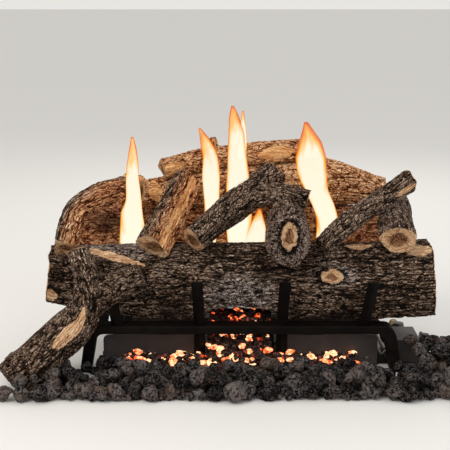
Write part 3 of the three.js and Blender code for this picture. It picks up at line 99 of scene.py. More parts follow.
class Field:
    """A value that varies over a surface: one node socket with arithmetic."""

    __add__, __radd__ = maths("ADD"), maths("ADD", turned=True)
    __sub__, __rsub__ = maths("SUBTRACT"), maths("SUBTRACT", turned=True)
    __mul__, __rmul__ = maths("MULTIPLY"), maths("MULTIPLY", turned=True)
    __pow__, __rpow__ = maths("POWER"), maths("POWER", turned=True)

    def __init__(self, shading, socket):
        self.shading = shading
        self.socket = socket


class Shading:
    """The nodes of a material or of the world, built one by one."""

    def __init__(self, owner):
        owner.use_nodes = True
        self.tree = owner.node_tree
        self.tree.nodes.clear()

    def feed(self, socket, value):
        """Links a field to a socket, or gives the socket a plain value."""
        if isinstance(value, Field):
            self.tree.links.new(value.socket, socket)
        else:
            socket.default_value = value

    def end(self, kind, shader):
        """Ends the tree in an output node that shows a shader."""
        self.feed(self.tree.nodes.new(kind).inputs[0], shader)

    def node(self, kind, settings=None, values=None, out=0):
        """Adds a node: its settings first, then the values or links of its sockets."""
        made = self.tree.nodes.new(kind)
        for name, value in (settings or {}).items():
            if name == "stops":
                stops = made.color_ramp.elements
                stops.remove(stops[1])
                stops[0].position, stops[0].color = value[0]
                for place, colour in value[1:]:
                    stops.new(place).color = colour
            else:
                setattr(made, name, value)
        for name, value in (values or {}).items():
            self.feed(made.inputs[name], value)
        return Field(self, made.outputs[out])

    def attribute(self, name, out="Fac"):
        return self.node("ShaderNodeAttribute", {"attribute_name": name}, out=out)

    def place(self):
        return self.node("ShaderNodeTexCoord", out="Object")

    def scaled(self, vector, scale):
        return self.node("ShaderNodeMapping", None, {"Vector": vector, "Scale": scale})

    def swayed(self, vector, scale, detail, reach):
        """A vector pushed aside by a soft noise, so that what is drawn with it wanders."""
        values = {"Vector": vector, "Scale": scale, "Detail": detail}
        sway = self.node("ShaderNodeTexNoise", None, values, out="Color")
        values = {0: sway, 1: (reach,) * 3, 2: vector}
        return self.node("ShaderNodeVectorMath", {"operation": "MULTIPLY_ADD"}, values)

    def noise(self, vector, scale, detail=4, rough=0.55, warp=0):
        values = {"Vector": vector, "Scale": scale, "Detail": detail, "Roughness": rough, "Distortion": warp}
        return self.node("ShaderNodeTexNoise", None, values)

    def cells(self, vector, scale, feature="DISTANCE_TO_EDGE"):
        values = {"Vector": vector, "Scale": scale}
        return self.node("ShaderNodeTexVoronoi", {"feature": feature}, values, out="Distance")

    def ramp(self, value, stops):
        return self.node("ShaderNodeValToRGB", {"stops": stops}, {0: value}, out="Color")

    def tones(self, value, table):
        return self.ramp(value, [(at, tone(*colour)) for at, colour in table])

    def step(self, value, low, high):
        settings = {"interpolation_type": "SMOOTHSTEP"}
        values = {"Value": value, "From Min": low, "From Max": high, "To Min": 0, "To Max": 1}
        return self.node("ShaderNodeMapRange", settings, values)

    def mix(self, share, first, second):
        return self.node("ShaderNodeMix", {"data_type": "RGBA"}, {0: share, 6: first, 7: second}, out=2)

    def bump(self, height, distance, strength=1.0):
        values = {"Strength": strength, "Distance": distance, "Height": height}
        return self.node("ShaderNodeBump", None, values)


class Finish(Shading):
    """A procedural material with one Principled shader."""

    def __init__(self, name, **constants):
        self.material = bpy.data.materials.new(name)
        super().__init__(self.material)
        self.shader = self.tree.nodes.new("ShaderNodeBsdfPrincipled")
        self.end("ShaderNodeOutputMaterial", Field(self, self.shader.outputs[0]))
        self.set(**constants)

    def set(self, **sockets):
        """Sets or links the shader's own sockets, named in lower case with underscores."""
        for name, value in sockets.items():
            self.feed(self.shader.inputs[name.replace("_", " ").title().replace("Ior", "IOR")], value)


# The lines and girths of the logs
def share_at(shares, along):
    """The value of a table of shares part of the way along it."""
    return np.interp(np.clip(along, 0, 1), np.linspace(0, 1, len(shares)), shares)


class Line:
    """A smooth centre line through points, in millimetres, with a frame at each of its even steps."""

    STEPS_BETWEEN_POINTS = 40
    MEASURED_AT_ONCE = 20000

    def __init__(self, points, side=(0, 1, 0), steps=160):
        knots = [Vector(point) for point in points]
        knots = [2 * knots[0] - knots[1], *knots, 2 * knots[-1] - knots[-2]]
        found = []
        for i in range(1, len(knots) - 2):
            before, start, end, after = knots[i - 1 : i + 3]
            gaps = ((before, start), (start, end), (end, after))
            first, middle, last = [(b - a).length ** 0.5 for a, b in gaps]
            leave = (start - before) / first - (end - before) / (first + middle) + (end - start) / middle
            arrive = (end - start) / middle - (after - start) / (middle + last) + (after - end) / last
            for t in np.linspace(0, 1, self.STEPS_BETWEEN_POINTS, endpoint=False):
                found.append(
                    start * (2 * t**3 - 3 * t**2 + 1)
                    + leave * middle * (t**3 - 2 * t**2 + t)
                    + end * (3 * t**2 - 2 * t**3)
                    + arrive * middle * (t**3 - t**2)
                )
        found = np.array([*found, knots[-2]])
        reach = np.concatenate([[0], np.cumsum(np.linalg.norm(np.diff(found, axis=0), axis=1))])
        self.length = reach[-1]
        even = np.linspace(0, self.length, steps)
        self.points = np.stack([np.interp(even, reach, found[:, k]) for k in range(3)], axis=1)
        ahead = np.gradient(self.points, axis=0)
        self.ahead = ahead / np.linalg.norm(ahead, axis=1)[:, None]
        up = np.cross(self.ahead, np.array(side, float))
        self.up = up / np.linalg.norm(up, axis=1)[:, None]
        self.across = np.cross(self.up, self.ahead)

    def blend(self, table, along):
        """The rows of a table of the line's steps, blended at shares along it."""
        place = np.clip(along, 0, 1) * (len(table) - 1)
        low = np.minimum(place.astype(int), len(table) - 2)
        part = (place - low)[:, None]
        return table[low] * (1 - part) + table[low + 1] * part

    def nearest(self, points):
        """For each point, its share along the line and its offset across and up from it."""
        along = np.empty(len(points))
        for start in range(0, len(points), self.MEASURED_AT_ONCE):
            chunk = points[start : start + self.MEASURED_AT_ONCE]
            gaps = ((chunk[:, None, :] - self.points[None, :, :]) ** 2).sum(axis=2)
            nearest = gaps.argmin(axis=1)
            slip = ((chunk - self.points[nearest]) * self.ahead[nearest]).sum(axis=1)
            step = self.length / (len(self.points) - 1)
            found = (nearest + np.clip(slip / step, -1, 1)) / (len(self.points) - 1)
            along[start : start + self.MEASURED_AT_ONCE] = found
        away = points - self.blend(self.points, along)
        across = (away * self.blend(self.across, along)).sum(axis=1)
        up = (away * self.blend(self.up, along)).sum(axis=1)
        return np.clip(along, 0, 1), across, up


# The frame's own levels, in millimetres
BAR_TOP = 76.3
FRONT = {"length": 618, "wide": 104, "tall": 124, "x": 0, "y": -51, "flat": 0.92}
FRONT_BASE = BAR_TOP + FRONT["flat"] * FRONT["tall"] / 2
FRONT_CREST = BAR_TOP + (1 + FRONT["flat"]) * FRONT["tall"] / 2
FRONT_FACE = FRONT["y"] - FRONT["wide"] / 2
REAR_Y = 101
REST_TOP = 98.3


def lying(spec, height):
    """Points of a log that lies along X, with its height at each given by a function of x and the row."""
    last = len(spec["line"]) - 1
    found = []
    for i, share in enumerate(spec["line"]):
        x = spec["x"] + (i / last - 0.5) * spec["length"]
        found.append((x, spec["y"] + share * spec["wide"], height(x, i)))
    return found


def crest(points, spec, x):
    """The height of a lying log's top at x."""
    along = (x - points[0][0]) / (points[-1][0] - points[0][0])
    return share_at([p[2] for p in points], along) + spec["tall"] / 2 * share_at(spec["girth"], along)


def resting(spec, points, below):
    """Points of a log that lies along the crest of the one below it."""
    def height(x, row):
        half = spec["tall"] / 2 * spec["girth"][min(row, len(spec["girth"]) - 1)]
        return crest(points, below, x) + half - spec["bed"] * spec["tall"]

    return lying(spec, height)


front_spec = {
    **FRONT, "bark": 0.03, "seed": 1.3, "under": 5,
    "line": [-0.02, -0.01, 0.01, 0, -0.01, 0.005, 0.03],
    "rise": [0.1, 0.02, 0, 0, 0, 0, 0.05],
    "girth": [0.74, 0.9, 1, 0.97, 0.98, 1, 1.02],
}
rear_spec = {
    "length": 566, "wide": 96, "tall": 140, "x": 3, "y": REAR_Y, "bark": 0.035, "seed": 4.1, "flat": 0.9,
    "line": [0.02, 0, -0.02, 0.01, 0], "rise": [0.09, 0.03, 0, 0.01, 0], "girth": [0.84, 1, 1, 1, 0.92],
}
upper_spec = {
    "length": 412, "wide": 76, "tall": 82, "x": 41, "y": 98, "bed": 0.07, "bark": 0.05, "seed": 2.7,
    "line": [-0.45, -0.06, 0.02, -0.03, -0.12], "girth": [0.58, 0.82, 0.94, 1.06, 0.8],
}
top_spec = {
    "length": 236, "wide": 40, "tall": 40, "x": -14, "y": 92, "bed": 0.08, "bark": 0.06, "seed": 5.9,
    "line": [-0.75, -0.08, 0, -0.15], "girth": [0.92, 1, 1.04, 0.96],
}
front_points = lying(front_spec, lambda x, i: FRONT_BASE + front_spec["rise"][i] * FRONT["tall"])
rear_base = REST_TOP + rear_spec["flat"] * rear_spec["tall"] / 2
rear_points = lying(rear_spec, lambda x, i: rear_base + rear_spec["rise"][i] * rear_spec["tall"])
upper_points = resting(upper_spec, rear_points, rear_spec)
upper_crest = crest(upper_points, upper_spec, upper_spec["x"])
top_points = resting(top_spec, upper_points, upper_spec)


def leaning(rows, half):
    """Points of a log that leans from the front log on to the rear ones, and is half that thick."""
    found = []
    for along, back, climb, own in rows:
        y = FRONT["y"] + back * (REAR_Y - FRONT["y"])
        z = FRONT_CREST + climb * (upper_crest - FRONT_CREST) + own * half
        found.append((along * FRONT["length"], y, z))
    return found


def leaning_in_front(rows, reach=112):
    """Points of a log that leans on the front log's face, with its foot up to a reach before it."""
    return [(a * FRONT["length"], FRONT_FACE + out * reach, height * FRONT_CREST) for a, out, height in rows]


LEFTWARDS = (-1, 0, 0)
stub_rows = [[0.121, -0.5, -0.2, 1], [0.121, -0.1, -0.15, 1], [0.124, 0.35, -0.13, 1], [0.129, 0.8, -0.1, 1]]
end_rows = [[0.402, -0.31, -0.08, 1], [0.412, 0.2, 0.04, 1], [0.424, 0.6, 0.14, 1], [0.432, 0.95, 0.2, 1]]
split_rows = [[-0.222, -0.23, -0.17, 1], [-0.18, 0.24, 0.22, 1], [-0.138, 0.74, 0.63, 1]]
cross_rows = [[-0.122, -0.18, -0.15, 1], [-0.06, 0.05, 0.1, 1], [0.015, 0.3, 0.38, 1], [0.092, 0.62, 0.67, 1]]
cross_limb_rows = [[0.02, 0.3, 0.44, 1], [0.1, 0.24, 0.5, 1], [0.18, 0.2, 0.44, 1]]
branch_rows = [
    [0.211, -0.22, -0.16, 1], [0.265, -0.07, 0.09, 1], [0.327, 0.06, 0.31, 1], [0.39, 0.19, 0.51, 1],
    [0.45, 0.29, 0.7, 1],
]
arch_rows = [
    [-0.447, -0.34, -0.2, 1], [-0.442, -0.12, 0.04, 1], [-0.424, 0.03, 0.28, 1], [-0.388, 0.16, 0.4, 1],
    [-0.342, 0.44, 0.45, 1], [-0.296, 0.93, 0.375, 1],
]
fork_rows = [
    [-0.56, -0.96, 0.07], [-0.47, -0.64, 0.31], [-0.395, -0.36, 0.56], [-0.392, -0.18, 0.8],
    [-0.414, -0.06, 1.01],
]
fork_limb_rows = [[-0.41, -0.36, 0.52], [-0.335, -0.17, 0.68], [-0.25, -0.12, 0.81]]
# Long cracks in the front log's bark: a share of its length and of a turn, then their length and climb
crack_rows = [
    [-0.12, 0.385, 0.2, -0.012], [0.08, 0.415, 0.28, -0.02], [-0.27, 0.455, 0.13, 0.008],
    [0.3, 0.37, 0.16, -0.01], [0.37, 0.5, 0.15, 0.01], [-0.15, 0.5, 0.2, 0.014],
    [0.36, 0.585, 0.19, -0.006], [-0.2, 0.575, 0.14, 0.006],
]


# Mesh tools
def new_piece(name, mesh, node):
    """Links a mesh as a piece at the origin that moves with the log set and stands for a node."""
    piece = bpy.data.objects.new(name, mesh)
    bpy.context.scene.collection.objects.link(piece)
    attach(piece, ROOT)
    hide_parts(node)


def finished(bm, name):
    """The mesh of a bmesh, shaded smooth."""
    mesh = bpy.data.meshes.new(name)
    bm.to_mesh(mesh)
    bm.free()
    mesh.shade_smooth()
    return mesh


def grown(bm, move):
    """Extrudes an open sheet and moves the new corners, so that it gets a wall and another side."""
    made = bmesh.ops.extrude_face_region(bm, geom=list(bm.faces))
    for vert in [v for v in made["geom"] if isinstance(v, bmesh.types.BMVert)]:
        vert.co = move(vert.co)
    bmesh.ops.recalc_face_normals(bm, faces=list(bm.faces))


def applied(mesh, *modifiers):
    """The mesh that modifiers make of another, each given as a type and its settings."""
    helper = bpy.data.objects.new("helper", mesh)
    bpy.context.scene.collection.objects.link(helper)
    for kind, settings in modifiers:
        modifier = helper.modifiers.new(kind.lower(), kind)
        for name, value in settings.items():
            setattr(modifier, name, value)
    found = bpy.data.meshes.new_from_object(helper.evaluated_get(bpy.context.evaluated_depsgraph_get()))
    bpy.data.objects.remove(helper)
    return found


def vectors(rows, key):
    """The vectors that a mesh holds for its corners, a row each."""
    found = np.empty(len(rows) * 3)
    rows.foreach_get(key, found)
    return found.reshape(-1, 3)


def set_attributes(mesh, **tables):
    """Gives each corner of a mesh its values, by the attribute's name."""
    for name, values in tables.items():
        kind, key = ("FLOAT", "value") if values.ndim == 1 else ("FLOAT_VECTOR", "vector")
        mesh.attributes.new(name, kind, "POINT").data.foreach_set(key, values.astype(np.float32).ravel())


def ripples(places, reach):
    """Soft noise at places, with waves about as long as the reach."""
    return np.array([noise.noise(Vector(place) / reach) for place in places])


# Logs, in millimetres until their meshes are done
TORN_WAVE, PATCH_WAVE, KNOT_WAVE = 13, 9, 7
END_DEPTH = 7
KNOT_REACH = 40
CRACK_HALF_WIDTH = 4.5
NEXT_LIMB = 900


def log_girth(spec, along, around):
    """The share of the full radius at a place on a log: its taper, its swells and its flats."""
    seed = spec["seed"]
    coarse = np.sin(3 * around + 5 * along + seed)
    fine = np.sin(5 * around - 5 * along + 2 * seed)
    swells = np.sin(9 * along + seed) + 0.6 * np.sin(2 * around + 18 * along + seed)
    size = 1 + spec["bark"] * (0.6 * coarse + 0.4 * fine + 0.5 * swells)
    power = spec.get("under", 2)
    bulge = np.abs(np.cos(around)) ** power + np.abs(np.sin(around)) ** power
    size = size * np.where(np.sin(around) < 0, bulge ** (-1 / power), 1)
    for turn, share in spec.get("flats", []):
        size = np.minimum(size, share / np.maximum(share / 4, np.cos(around - turn)))
    return size * share_at(spec["girth"], along)


def rod(segments, rings):
    """A closed cylinder with rings of corners, and the share along and turn around it of each corner."""
    bm = bmesh.new()
    bmesh.ops.create_cone(bm, cap_ends=True, segments=segments, radius1=1, radius2=1, depth=1)
    edges = [e for e in bm.edges if abs(e.verts[0].co.z - e.verts[1].co.z) > 0.5]
    bmesh.ops.subdivide_edges(bm, edges=edges, cuts=rings)
    along = np.array([v.co.z + 0.5 for v in bm.verts])
    return bm, along, np.array([math.atan2(v.co.y, v.co.x) for v in bm.verts])


def add_log_blank(bm, spec, line):
    """A smooth log: a cylinder subdivided along its length and bent to the line."""
    blank, along, around = rod(segments=72, rings=110)
    size = log_girth(spec, along, around)
    half_wide, half_tall = spec["wide"] / 2, spec["tall"] / 2
    places = line.blend(line.points, along)
    places = places + line.blend(line.across, along) * (half_wide * size * np.cos(around))[:, None]
    places = places + line.blend(line.up, along) * (half_tall * size * np.sin(around))[:, None]
    torn = ripples(places, TORN_WAVE)
    near_end = smooth(0.88, 1, np.abs(2 * along - 1)) * np.sign(along - 0.5)
    places = places + line.blend(line.ahead, along) * (spec.get("torn", 5) * torn * near_end)[:, None]
    for vert, place in zip(blank.verts, places):
        vert.co = place * MM
    mesh = finished(blank, "blank")
    bm.from_mesh(mesh)
    bpy.data.meshes.remove(mesh)


def knot_frame(knot):
    """A knot's axes as columns: across, rise and the way that it points."""
    axis = Vector(knot["axis"]).normalized()
    across = Vector((0, 0, 1)).cross(axis).normalized()
    return Matrix((across, axis.cross(across), axis)).transposed()


def add_knot_blank(bm, knot):
    """A sawn branch stub: an oval cone whose top is inset and sunk, on an axis that points out of the log."""
    rim, radius, height = knot["rim"], knot["radius"], knot["height"]
    depth = rim + height
    middle = Matrix.Translation((0, 0, height - depth / 2))
    made = bmesh.ops.create_cone(
        bm, cap_ends=True, segments=40, radius1=rim, radius2=(rim + radius) / 2, depth=depth, matrix=middle,
    )
    top = max({f for v in made["verts"] for f in v.link_faces}, key=lambda face: face.calc_center_median().z)
    bmesh.ops.inset_region(bm, faces=[top], thickness=(rim - radius) / 2)
    for vert in top.verts:
        vert.co.z -= height / 2
    found = {v for vert in made["verts"] for face in vert.link_faces for v in face.verts}
    turn = knot_frame(knot)
    for vert in found:
        vert.co = (Vector(knot["at"]) + turn @ Vector((vert.co.x, vert.co.y * knot["tall"], vert.co.z))) * MM


def bark_relief(grain, seed, length, width):
    """Bark, 0 in a furrow to 1 on a ridge: long wavy furrows, shorter ones between, then cross cracks."""
    found = np.empty(len(grain))
    shift = Vector((seed * 7.1, seed * 3.3, seed))
    for i, (u, a, b) in enumerate(grain):
        place = Vector((u / length, a / width, b / width)) + shift
        place += noise.noise_vector(place * 0.7) * 0.5
        long = abs(noise.noise(place))
        short = abs(noise.noise(place * 2.1 + shift))
        cross = abs(noise.noise(Vector((u / width * 0.9, a / width * 0.55, b / width * 0.55)) + shift * 2))
        rough = noise.fractal(Vector((u / width, a / width * 2.2, b / width * 2.2)) + shift, 0.9, 2.2, 3)
        ridge = min(1.0, long * 5.5) ** 0.6 * (0.45 + 0.55 * min(1.0, short * 5) ** 0.6)
        ridge *= 0.7 + 0.3 * min(1.0, cross * 7)
        found[i] = ridge * 0.86 + 0.2 * rough
    return np.clip(found, 0, 1)


def fibres(grain, seed):
    """Long fibres along the grain, about 0.5."""
    length, width = 30, 3.4
    found = np.empty(len(grain))
    for i, (u, a, b) in enumerate(grain):
        found[i] = 0.5 + 0.5 * noise.fractal(Vector((u / length + seed, a / width, b / width)), 0.8, 2.1, 3)
    return np.clip(found, 0, 1)


def patch_mask(patches, along, around, length, girth, wobble):
    """How far places lie inside patches: share along, turn in degrees, half lengths both ways, climb."""
    mask = np.zeros(len(along))
    for at, turn, half_length, half_width, *climb in patches:
        off = ((around - math.radians(turn) + math.pi) % (2 * math.pi) - math.pi) * girth
        off = off - sum(climb) * (along - at) * length
        ahead, aside = np.abs(along - at) * length / half_length, np.abs(off) / half_width
        reach = (ahead**1.4 + aside**1.4) ** (1 / 1.4)
        mask = np.maximum(mask, 1 - smooth(0.8, 1.15, reach + wobble))
    return mask


def joined_blank(name, parts, lines, knots, cutters, voxel):
    """A log's smooth parts and stubs as one mesh, cut by other objects and remeshed to an even grid."""
    bm = bmesh.new()
    for part, line in zip(parts, lines):
        add_log_blank(bm, part, line)
    for knot in knots:
        add_knot_blank(bm, knot)
    cut = {"operation": "DIFFERENCE", "solver": "EXACT", "use_self": True}
    changes = [("BOOLEAN", {**cut, "object": cutter}) for cutter in cutters]
    return applied(finished(bm, name), *changes, ("REMESH", {"mode": "VOXEL", "voxel_size": voxel}))


def make_log(name, parts, finish, settings, knots=(), cutters=(), cracks=()):
    """A log: its blanks joined and remeshed, with bark, bare wood and sawn ends carved along its grain."""
    trunk = parts[0]
    lines = [Line(part["points"], part.get("side", (0, 1, 0))) for part in parts]
    voxel = trunk.get("voxel", settings.fineness) * 1
    mesh = joined_blank(name, parts, lines, knots, cutters, voxel)
    places = vectors(mesh.vertices, "co") / MM
    outward = vectors(mesh.vertex_normals, "vector")
    count = len(places)
    best = np.full(count, np.inf)
    grain = np.zeros((count, 3))
    cut, bare, ring, warmth, groove = np.zeros((5, count))
    for number, (part, line) in enumerate(zip(parts, lines)):
        share, across, up = line.nearest(places)
        reach = np.hypot(across / part["wide"], up / part["tall"]) / share_at(part["girth"], share)
        mine = reach < best
        best = np.where(mine, reach, best)
        around = np.arctan2(up, across)
        u = share * line.length
        girth = (part["wide"] + part["tall"]) / 4
        facing = (outward * line.blend(line.ahead, share)).sum(axis=1)
        ends = np.zeros(count)
        if part.get("sawn_start", True):
            ends = np.maximum(ends, smooth(0.35, 0.75, -facing) * (u < END_DEPTH))
        if part.get("sawn_end", True):
            ends = np.maximum(ends, smooth(0.35, 0.75, facing) * (line.length - u < END_DEPTH))
        grain[mine] = np.stack([u + NEXT_LIMB * number, across, up], axis=1)[mine]
        cut[mine] = ends[mine]
        ring[mine] = (2 * reach)[mine]
        # Painted firelight: each log near the flames gets a share of the firelit tones, and where a side is
        # given, the side facing the flames gets the most.
        warmth[mine] = part.get("warm", 0)
        if "firelit_side" in part:
            facing_fire = outward @ np.array(Vector(part["firelit_side"]).normalized())
            warmth[mine] = smooth(-0.5, 0.6, facing_fire + 0.8 * part["warm"] - 0.4)[mine]
        wobble = 0.3 * ripples(places[mine], PATCH_WAVE)
        bare[mine] = patch_mask(part.get("bare", []), share[mine], around[mine], line.length, girth, wobble)
    for knot in knots:
        across, rise, out = ((places - np.array(knot["at"])) @ np.array(knot_frame(knot))).T
        wide = np.hypot(across, rise / knot["tall"])
        near = wide < KNOT_REACH
        wide[near] += knot["ragged"] * knot["radius"] * ripples(places[near], KNOT_WAVE)
        wide = wide / knot["radius"]
        face = (1 - smooth(0.9, 1.02, wide)) * (out > -knot["height"])
        groove = np.maximum(groove, smooth(0.98, 1.08, wide) * (1 - smooth(1.2, 1.5, wide)))
        cut = np.maximum(cut, face)
        ring = np.where(face > 0.01, wide, ring)
    seed = trunk["seed"]
    plate = bark_relief(grain, seed, trunk.get("plate_length", 34), trunk.get("plate_width", 10))
    plate = plate * (1 - 0.9 * groove)
    strands = fibres(grain, seed)
    bare = np.clip(bare - cut, 0, 1)
    for tint in ("ash", "soot"):
        found = np.zeros(count)
        for middle, reach, most in trunk.get(tint, []):
            here = most * (1 - smooth(0.2, 1, np.linalg.norm((places - middle) / reach, axis=1)))
            found = np.maximum(found, here)
        set_attributes(mesh, **{tint: found})
    for middle, half, climb in cracks:
        off = places - np.array(middle)
        off[:, 2] -= climb * off[:, 0] + 2.2 * np.sin(off[:, 0] / 7 + middle[0])
        narrowing = np.clip(1 - (off[:, 0] / half) ** 2, 0.01, 1)
        wide = np.hypot(off[:, 1], off[:, 2]) / (CRACK_HALF_WIDTH * narrowing)
        plate = plate * smooth(0.25, 1, wide)
    depth = settings.bark_depth / MM * trunk.get("depth_share", 1)
    bark = 1 - np.maximum(bare, cut)
    sunk = depth * (1 - plate) * bark + bare * (0.55 * depth + 1.2 * (1 - strands))
    sunk = sunk + cut * 0.5 * (1 - strands)
    mesh.vertices.foreach_set("co", ((places - outward * sunk[:, None]) * MM).ravel())
    set_attributes(mesh, grain=grain * MM, relief=plate, bare=bare, cut=cut, ring=ring, warmth=warmth)
    mesh.shade_smooth()
    mesh.materials.append(finish)
    mesh.update()
    new_piece(name + "_cast", mesh, name)


def bark_finish(name, cool, warm, wood, size=1.0, stretch=0.36, lift=0.0):
    """Cracked bark plates, bare wood with long fibres, and sawn faces with a brown heart and a pale rim."""
    finish = Finish(name, specular_ior_level=0.1)
    place = finish.place()
    bent = finish.swayed(finish.attribute("grain", "Vector"), 90 / size, 3, 0.009 * size)

    def drawn(share):
        """The bent grain, drawn out along the log."""
        return finish.scaled(bent, (share, 1, 1))

    ash = finish.attribute("ash")
    long_plates, square_plates = finish.cells(drawn(stretch), 150 / size), finish.cells(drawn(0.8), 230)
    plates = finish.step(long_plates * (1 - ash) + square_plates * ash, 0.01, 0.09)
    scales = finish.step(finish.cells(drawn(stretch * 1.3), 360 / size), 0, 0.14)
    speckle = finish.noise(drawn(stretch * 0.8), 520 / size, detail=5, rough=0.8)
    blotch = finish.noise(place, 22, detail=3)
    relief = finish.step(finish.attribute("relief"), 0.05, 0.75)
    level = relief * 0.42 + plates * 0.34 + scales * 0.24 + (speckle - 0.5) * 2.1 + blotch * 0.5
    # The last term is a painted highlight: thin pale streaks where the speckle is high.
    level = level + (lift - 0.56) + finish.step(speckle, 0.58, 0.7) * 0.32
    # Painted firelight: the bark turns from its own tones to the firelit ones by the firelight attribute.
    bark = finish.mix(finish.attribute("warmth"), finish.tones(level, cool), finish.tones(level, warm))
    # Ashen tones: the bark's ash-white paint, and on the front log's crest a painted highlight as well.
    bark = finish.mix(ash, bark, finish.tones(level, ASHEN))
    # Darker patches: on the rear log, painted shade where the arch log hangs over it; on the front log, two
    # darker patches low on its face.
    bark = finish.mix(finish.attribute("soot"), bark, tone(24, 14, 9))
    rough = finish.noise(place, 420, detail=5, rough=0.75)
    bare = finish.step(finish.attribute("bare") + (speckle - 0.5) * 0.7, 0.36, 0.56)
    strand = finish.noise(drawn(0.06), 400, detail=4, rough=0.7)
    timber = finish.tones(strand * 1.7 + blotch * 0.3 - 0.46, wood)
    share = finish.attribute("ring") + (finish.noise(place, 30, detail=6, rough=0.7) - 0.5) * 0.8
    rings = finish.node("ShaderNodeMath", {"operation": "SINE"}, {0: share * 70 + blotch * 30}) * 0.07
    split = finish.step(finish.cells(drawn(0.1), 60), 0, 0.05) * 0.22
    sawn = rough * 0.75 + rings + split + blotch * 0.3 - 0.22
    heart = 1 - finish.step(share, 0.4, 0.64)
    core = finish.mix(heart, finish.tones(sawn, SAWN_RIM), finish.tones(sawn, SAWN_HEART))
    cut = finish.step(finish.attribute("cut") + (rough - 0.5) * 0.8, 0.35, 0.6)
    colour = finish.mix(cut, finish.mix(bare, bark, timber), core)
    finish.set(base_color=colour, roughness=0.98 - speckle * 0.3)
    wood_share = finish.node("ShaderNodeMath", {"operation": "MAXIMUM"}, {0: bare, 1: cut})
    skin = plates * 0.5 + scales * 0.35 + speckle * 0.7
    height = skin * (1 - wood_share) + strand * bare * 0.9 + rough * cut * 0.9
    finish.set(normal=finish.bump(height, 0.0036 * size))
    return finish.material


# Tones from the darkest cracks to the palest crests, each after its place on the scale of the pattern
DARK_BARK = [
    (0.0, (8, 4, 2)), (0.3, (23, 15, 9)), (0.5, (64, 46, 33)), (0.7, (120, 96, 78)), (0.9, (204, 180, 160)),
]
GREY_BARK = [
    (0.0, (10, 5, 2)), (0.3, (32, 21, 14)), (0.5, (86, 65, 50)), (0.72, (148, 122, 103)),
    (0.95, (224, 202, 182)),
]
# Firelit tones: partly the logs' own warm paint, partly painted firelight, orange and bright near the flames.
FIRELIT_BARK = [
    (0.0, (44, 18, 7)), (0.3, (110, 60, 32)), (0.5, (184, 118, 76)), (0.72, (230, 168, 118)),
    (0.95, (252, 220, 176)),
]
RED_BARK = [
    (0.0, (34, 11, 4)), (0.3, (82, 34, 15)), (0.5, (138, 70, 40)), (0.72, (188, 114, 74)),
    (0.95, (232, 168, 122)),
]
ASHEN = [
    (0.0, (12, 8, 7)), (0.3, (40, 30, 25)), (0.5, (112, 95, 86)), (0.72, (184, 168, 160)),
    (0.95, (236, 226, 218)),
]
SAWN_RIM = [(0.34, (136, 94, 62)), (0.5, (190, 146, 106)), (0.66, (234, 202, 164))]
SAWN_HEART = [(0.34, (58, 34, 20)), (0.5, (114, 76, 50)), (0.66, (170, 126, 90))]
PALE_WOOD = [(0.2, (66, 40, 22)), (0.42, (158, 112, 78)), (0.58, (206, 164, 124)), (0.82, (240, 214, 182))]
# Bare and sawn wood in firelit tones: pale wood with painted firelight.
FIRELIT_WOOD = [(0.2, (98, 46, 20)), (0.45, (190, 126, 76)), (0.6, (230, 172, 114)), (0.85, (252, 224, 174))]


# Sizes and colours that a user would change
class LogSettings(bpy.types.PropertyGroup):
    fineness: FloatProperty(name="Fineness", description="Grid of the bark", default=0.0016, unit="LENGTH")
    bark_depth: FloatProperty(name="Bark depth", description="Furrows' depth", default=0.0036, unit="LENGTH")


class EmberSettings(bpy.types.PropertyGroup):
    size: FloatProperty(name="Size", description="Radius of an ember", default=0.0066, unit="LENGTH")
    pitch: FloatProperty(name="Pitch", description="Distance between embers", default=0.0096, unit="LENGTH")
    glow: FloatProperty(name="Glow", description="Strength of the glow", default=1.5, min=0, max=20)
    seed: IntProperty(name="Seed", description="Start of the scatter", default=11)


class RockSettings(bpy.types.PropertyGroup):
    size: FloatProperty(name="Size", description="Radius of a rock", default=0.0155, unit="LENGTH")
    pitch: FloatProperty(name="Pitch", description="Distance between rocks", default=0.029, unit="LENGTH")
    colour: FloatVectorProperty(
        name="Colour", description="Middle tone of the rock", default=tone(54, 50, 49)[:3], subtype="COLOR",
    )
    seed: IntProperty(name="Seed", description="Start of the scatter", default=5)


class StageSettings(bpy.types.PropertyGroup):
    floor: FloatVectorProperty(
        name="Floor", description="Colour of the floor", default=(0.72, 0.71, 0.69), subtype="COLOR",
    )
    key: FloatProperty(name="Key", description="Power of the main soft light", default=22, unit="POWER")
    fill: FloatProperty(name="Fill", description="Power of the fill light", default=9, unit="POWER")
    sky: FloatProperty(name="Sky", description="Strength of the light from all round", default=0.85)
    flame: FloatProperty(name="Flame", description="Strength of the flames", default=1.05)


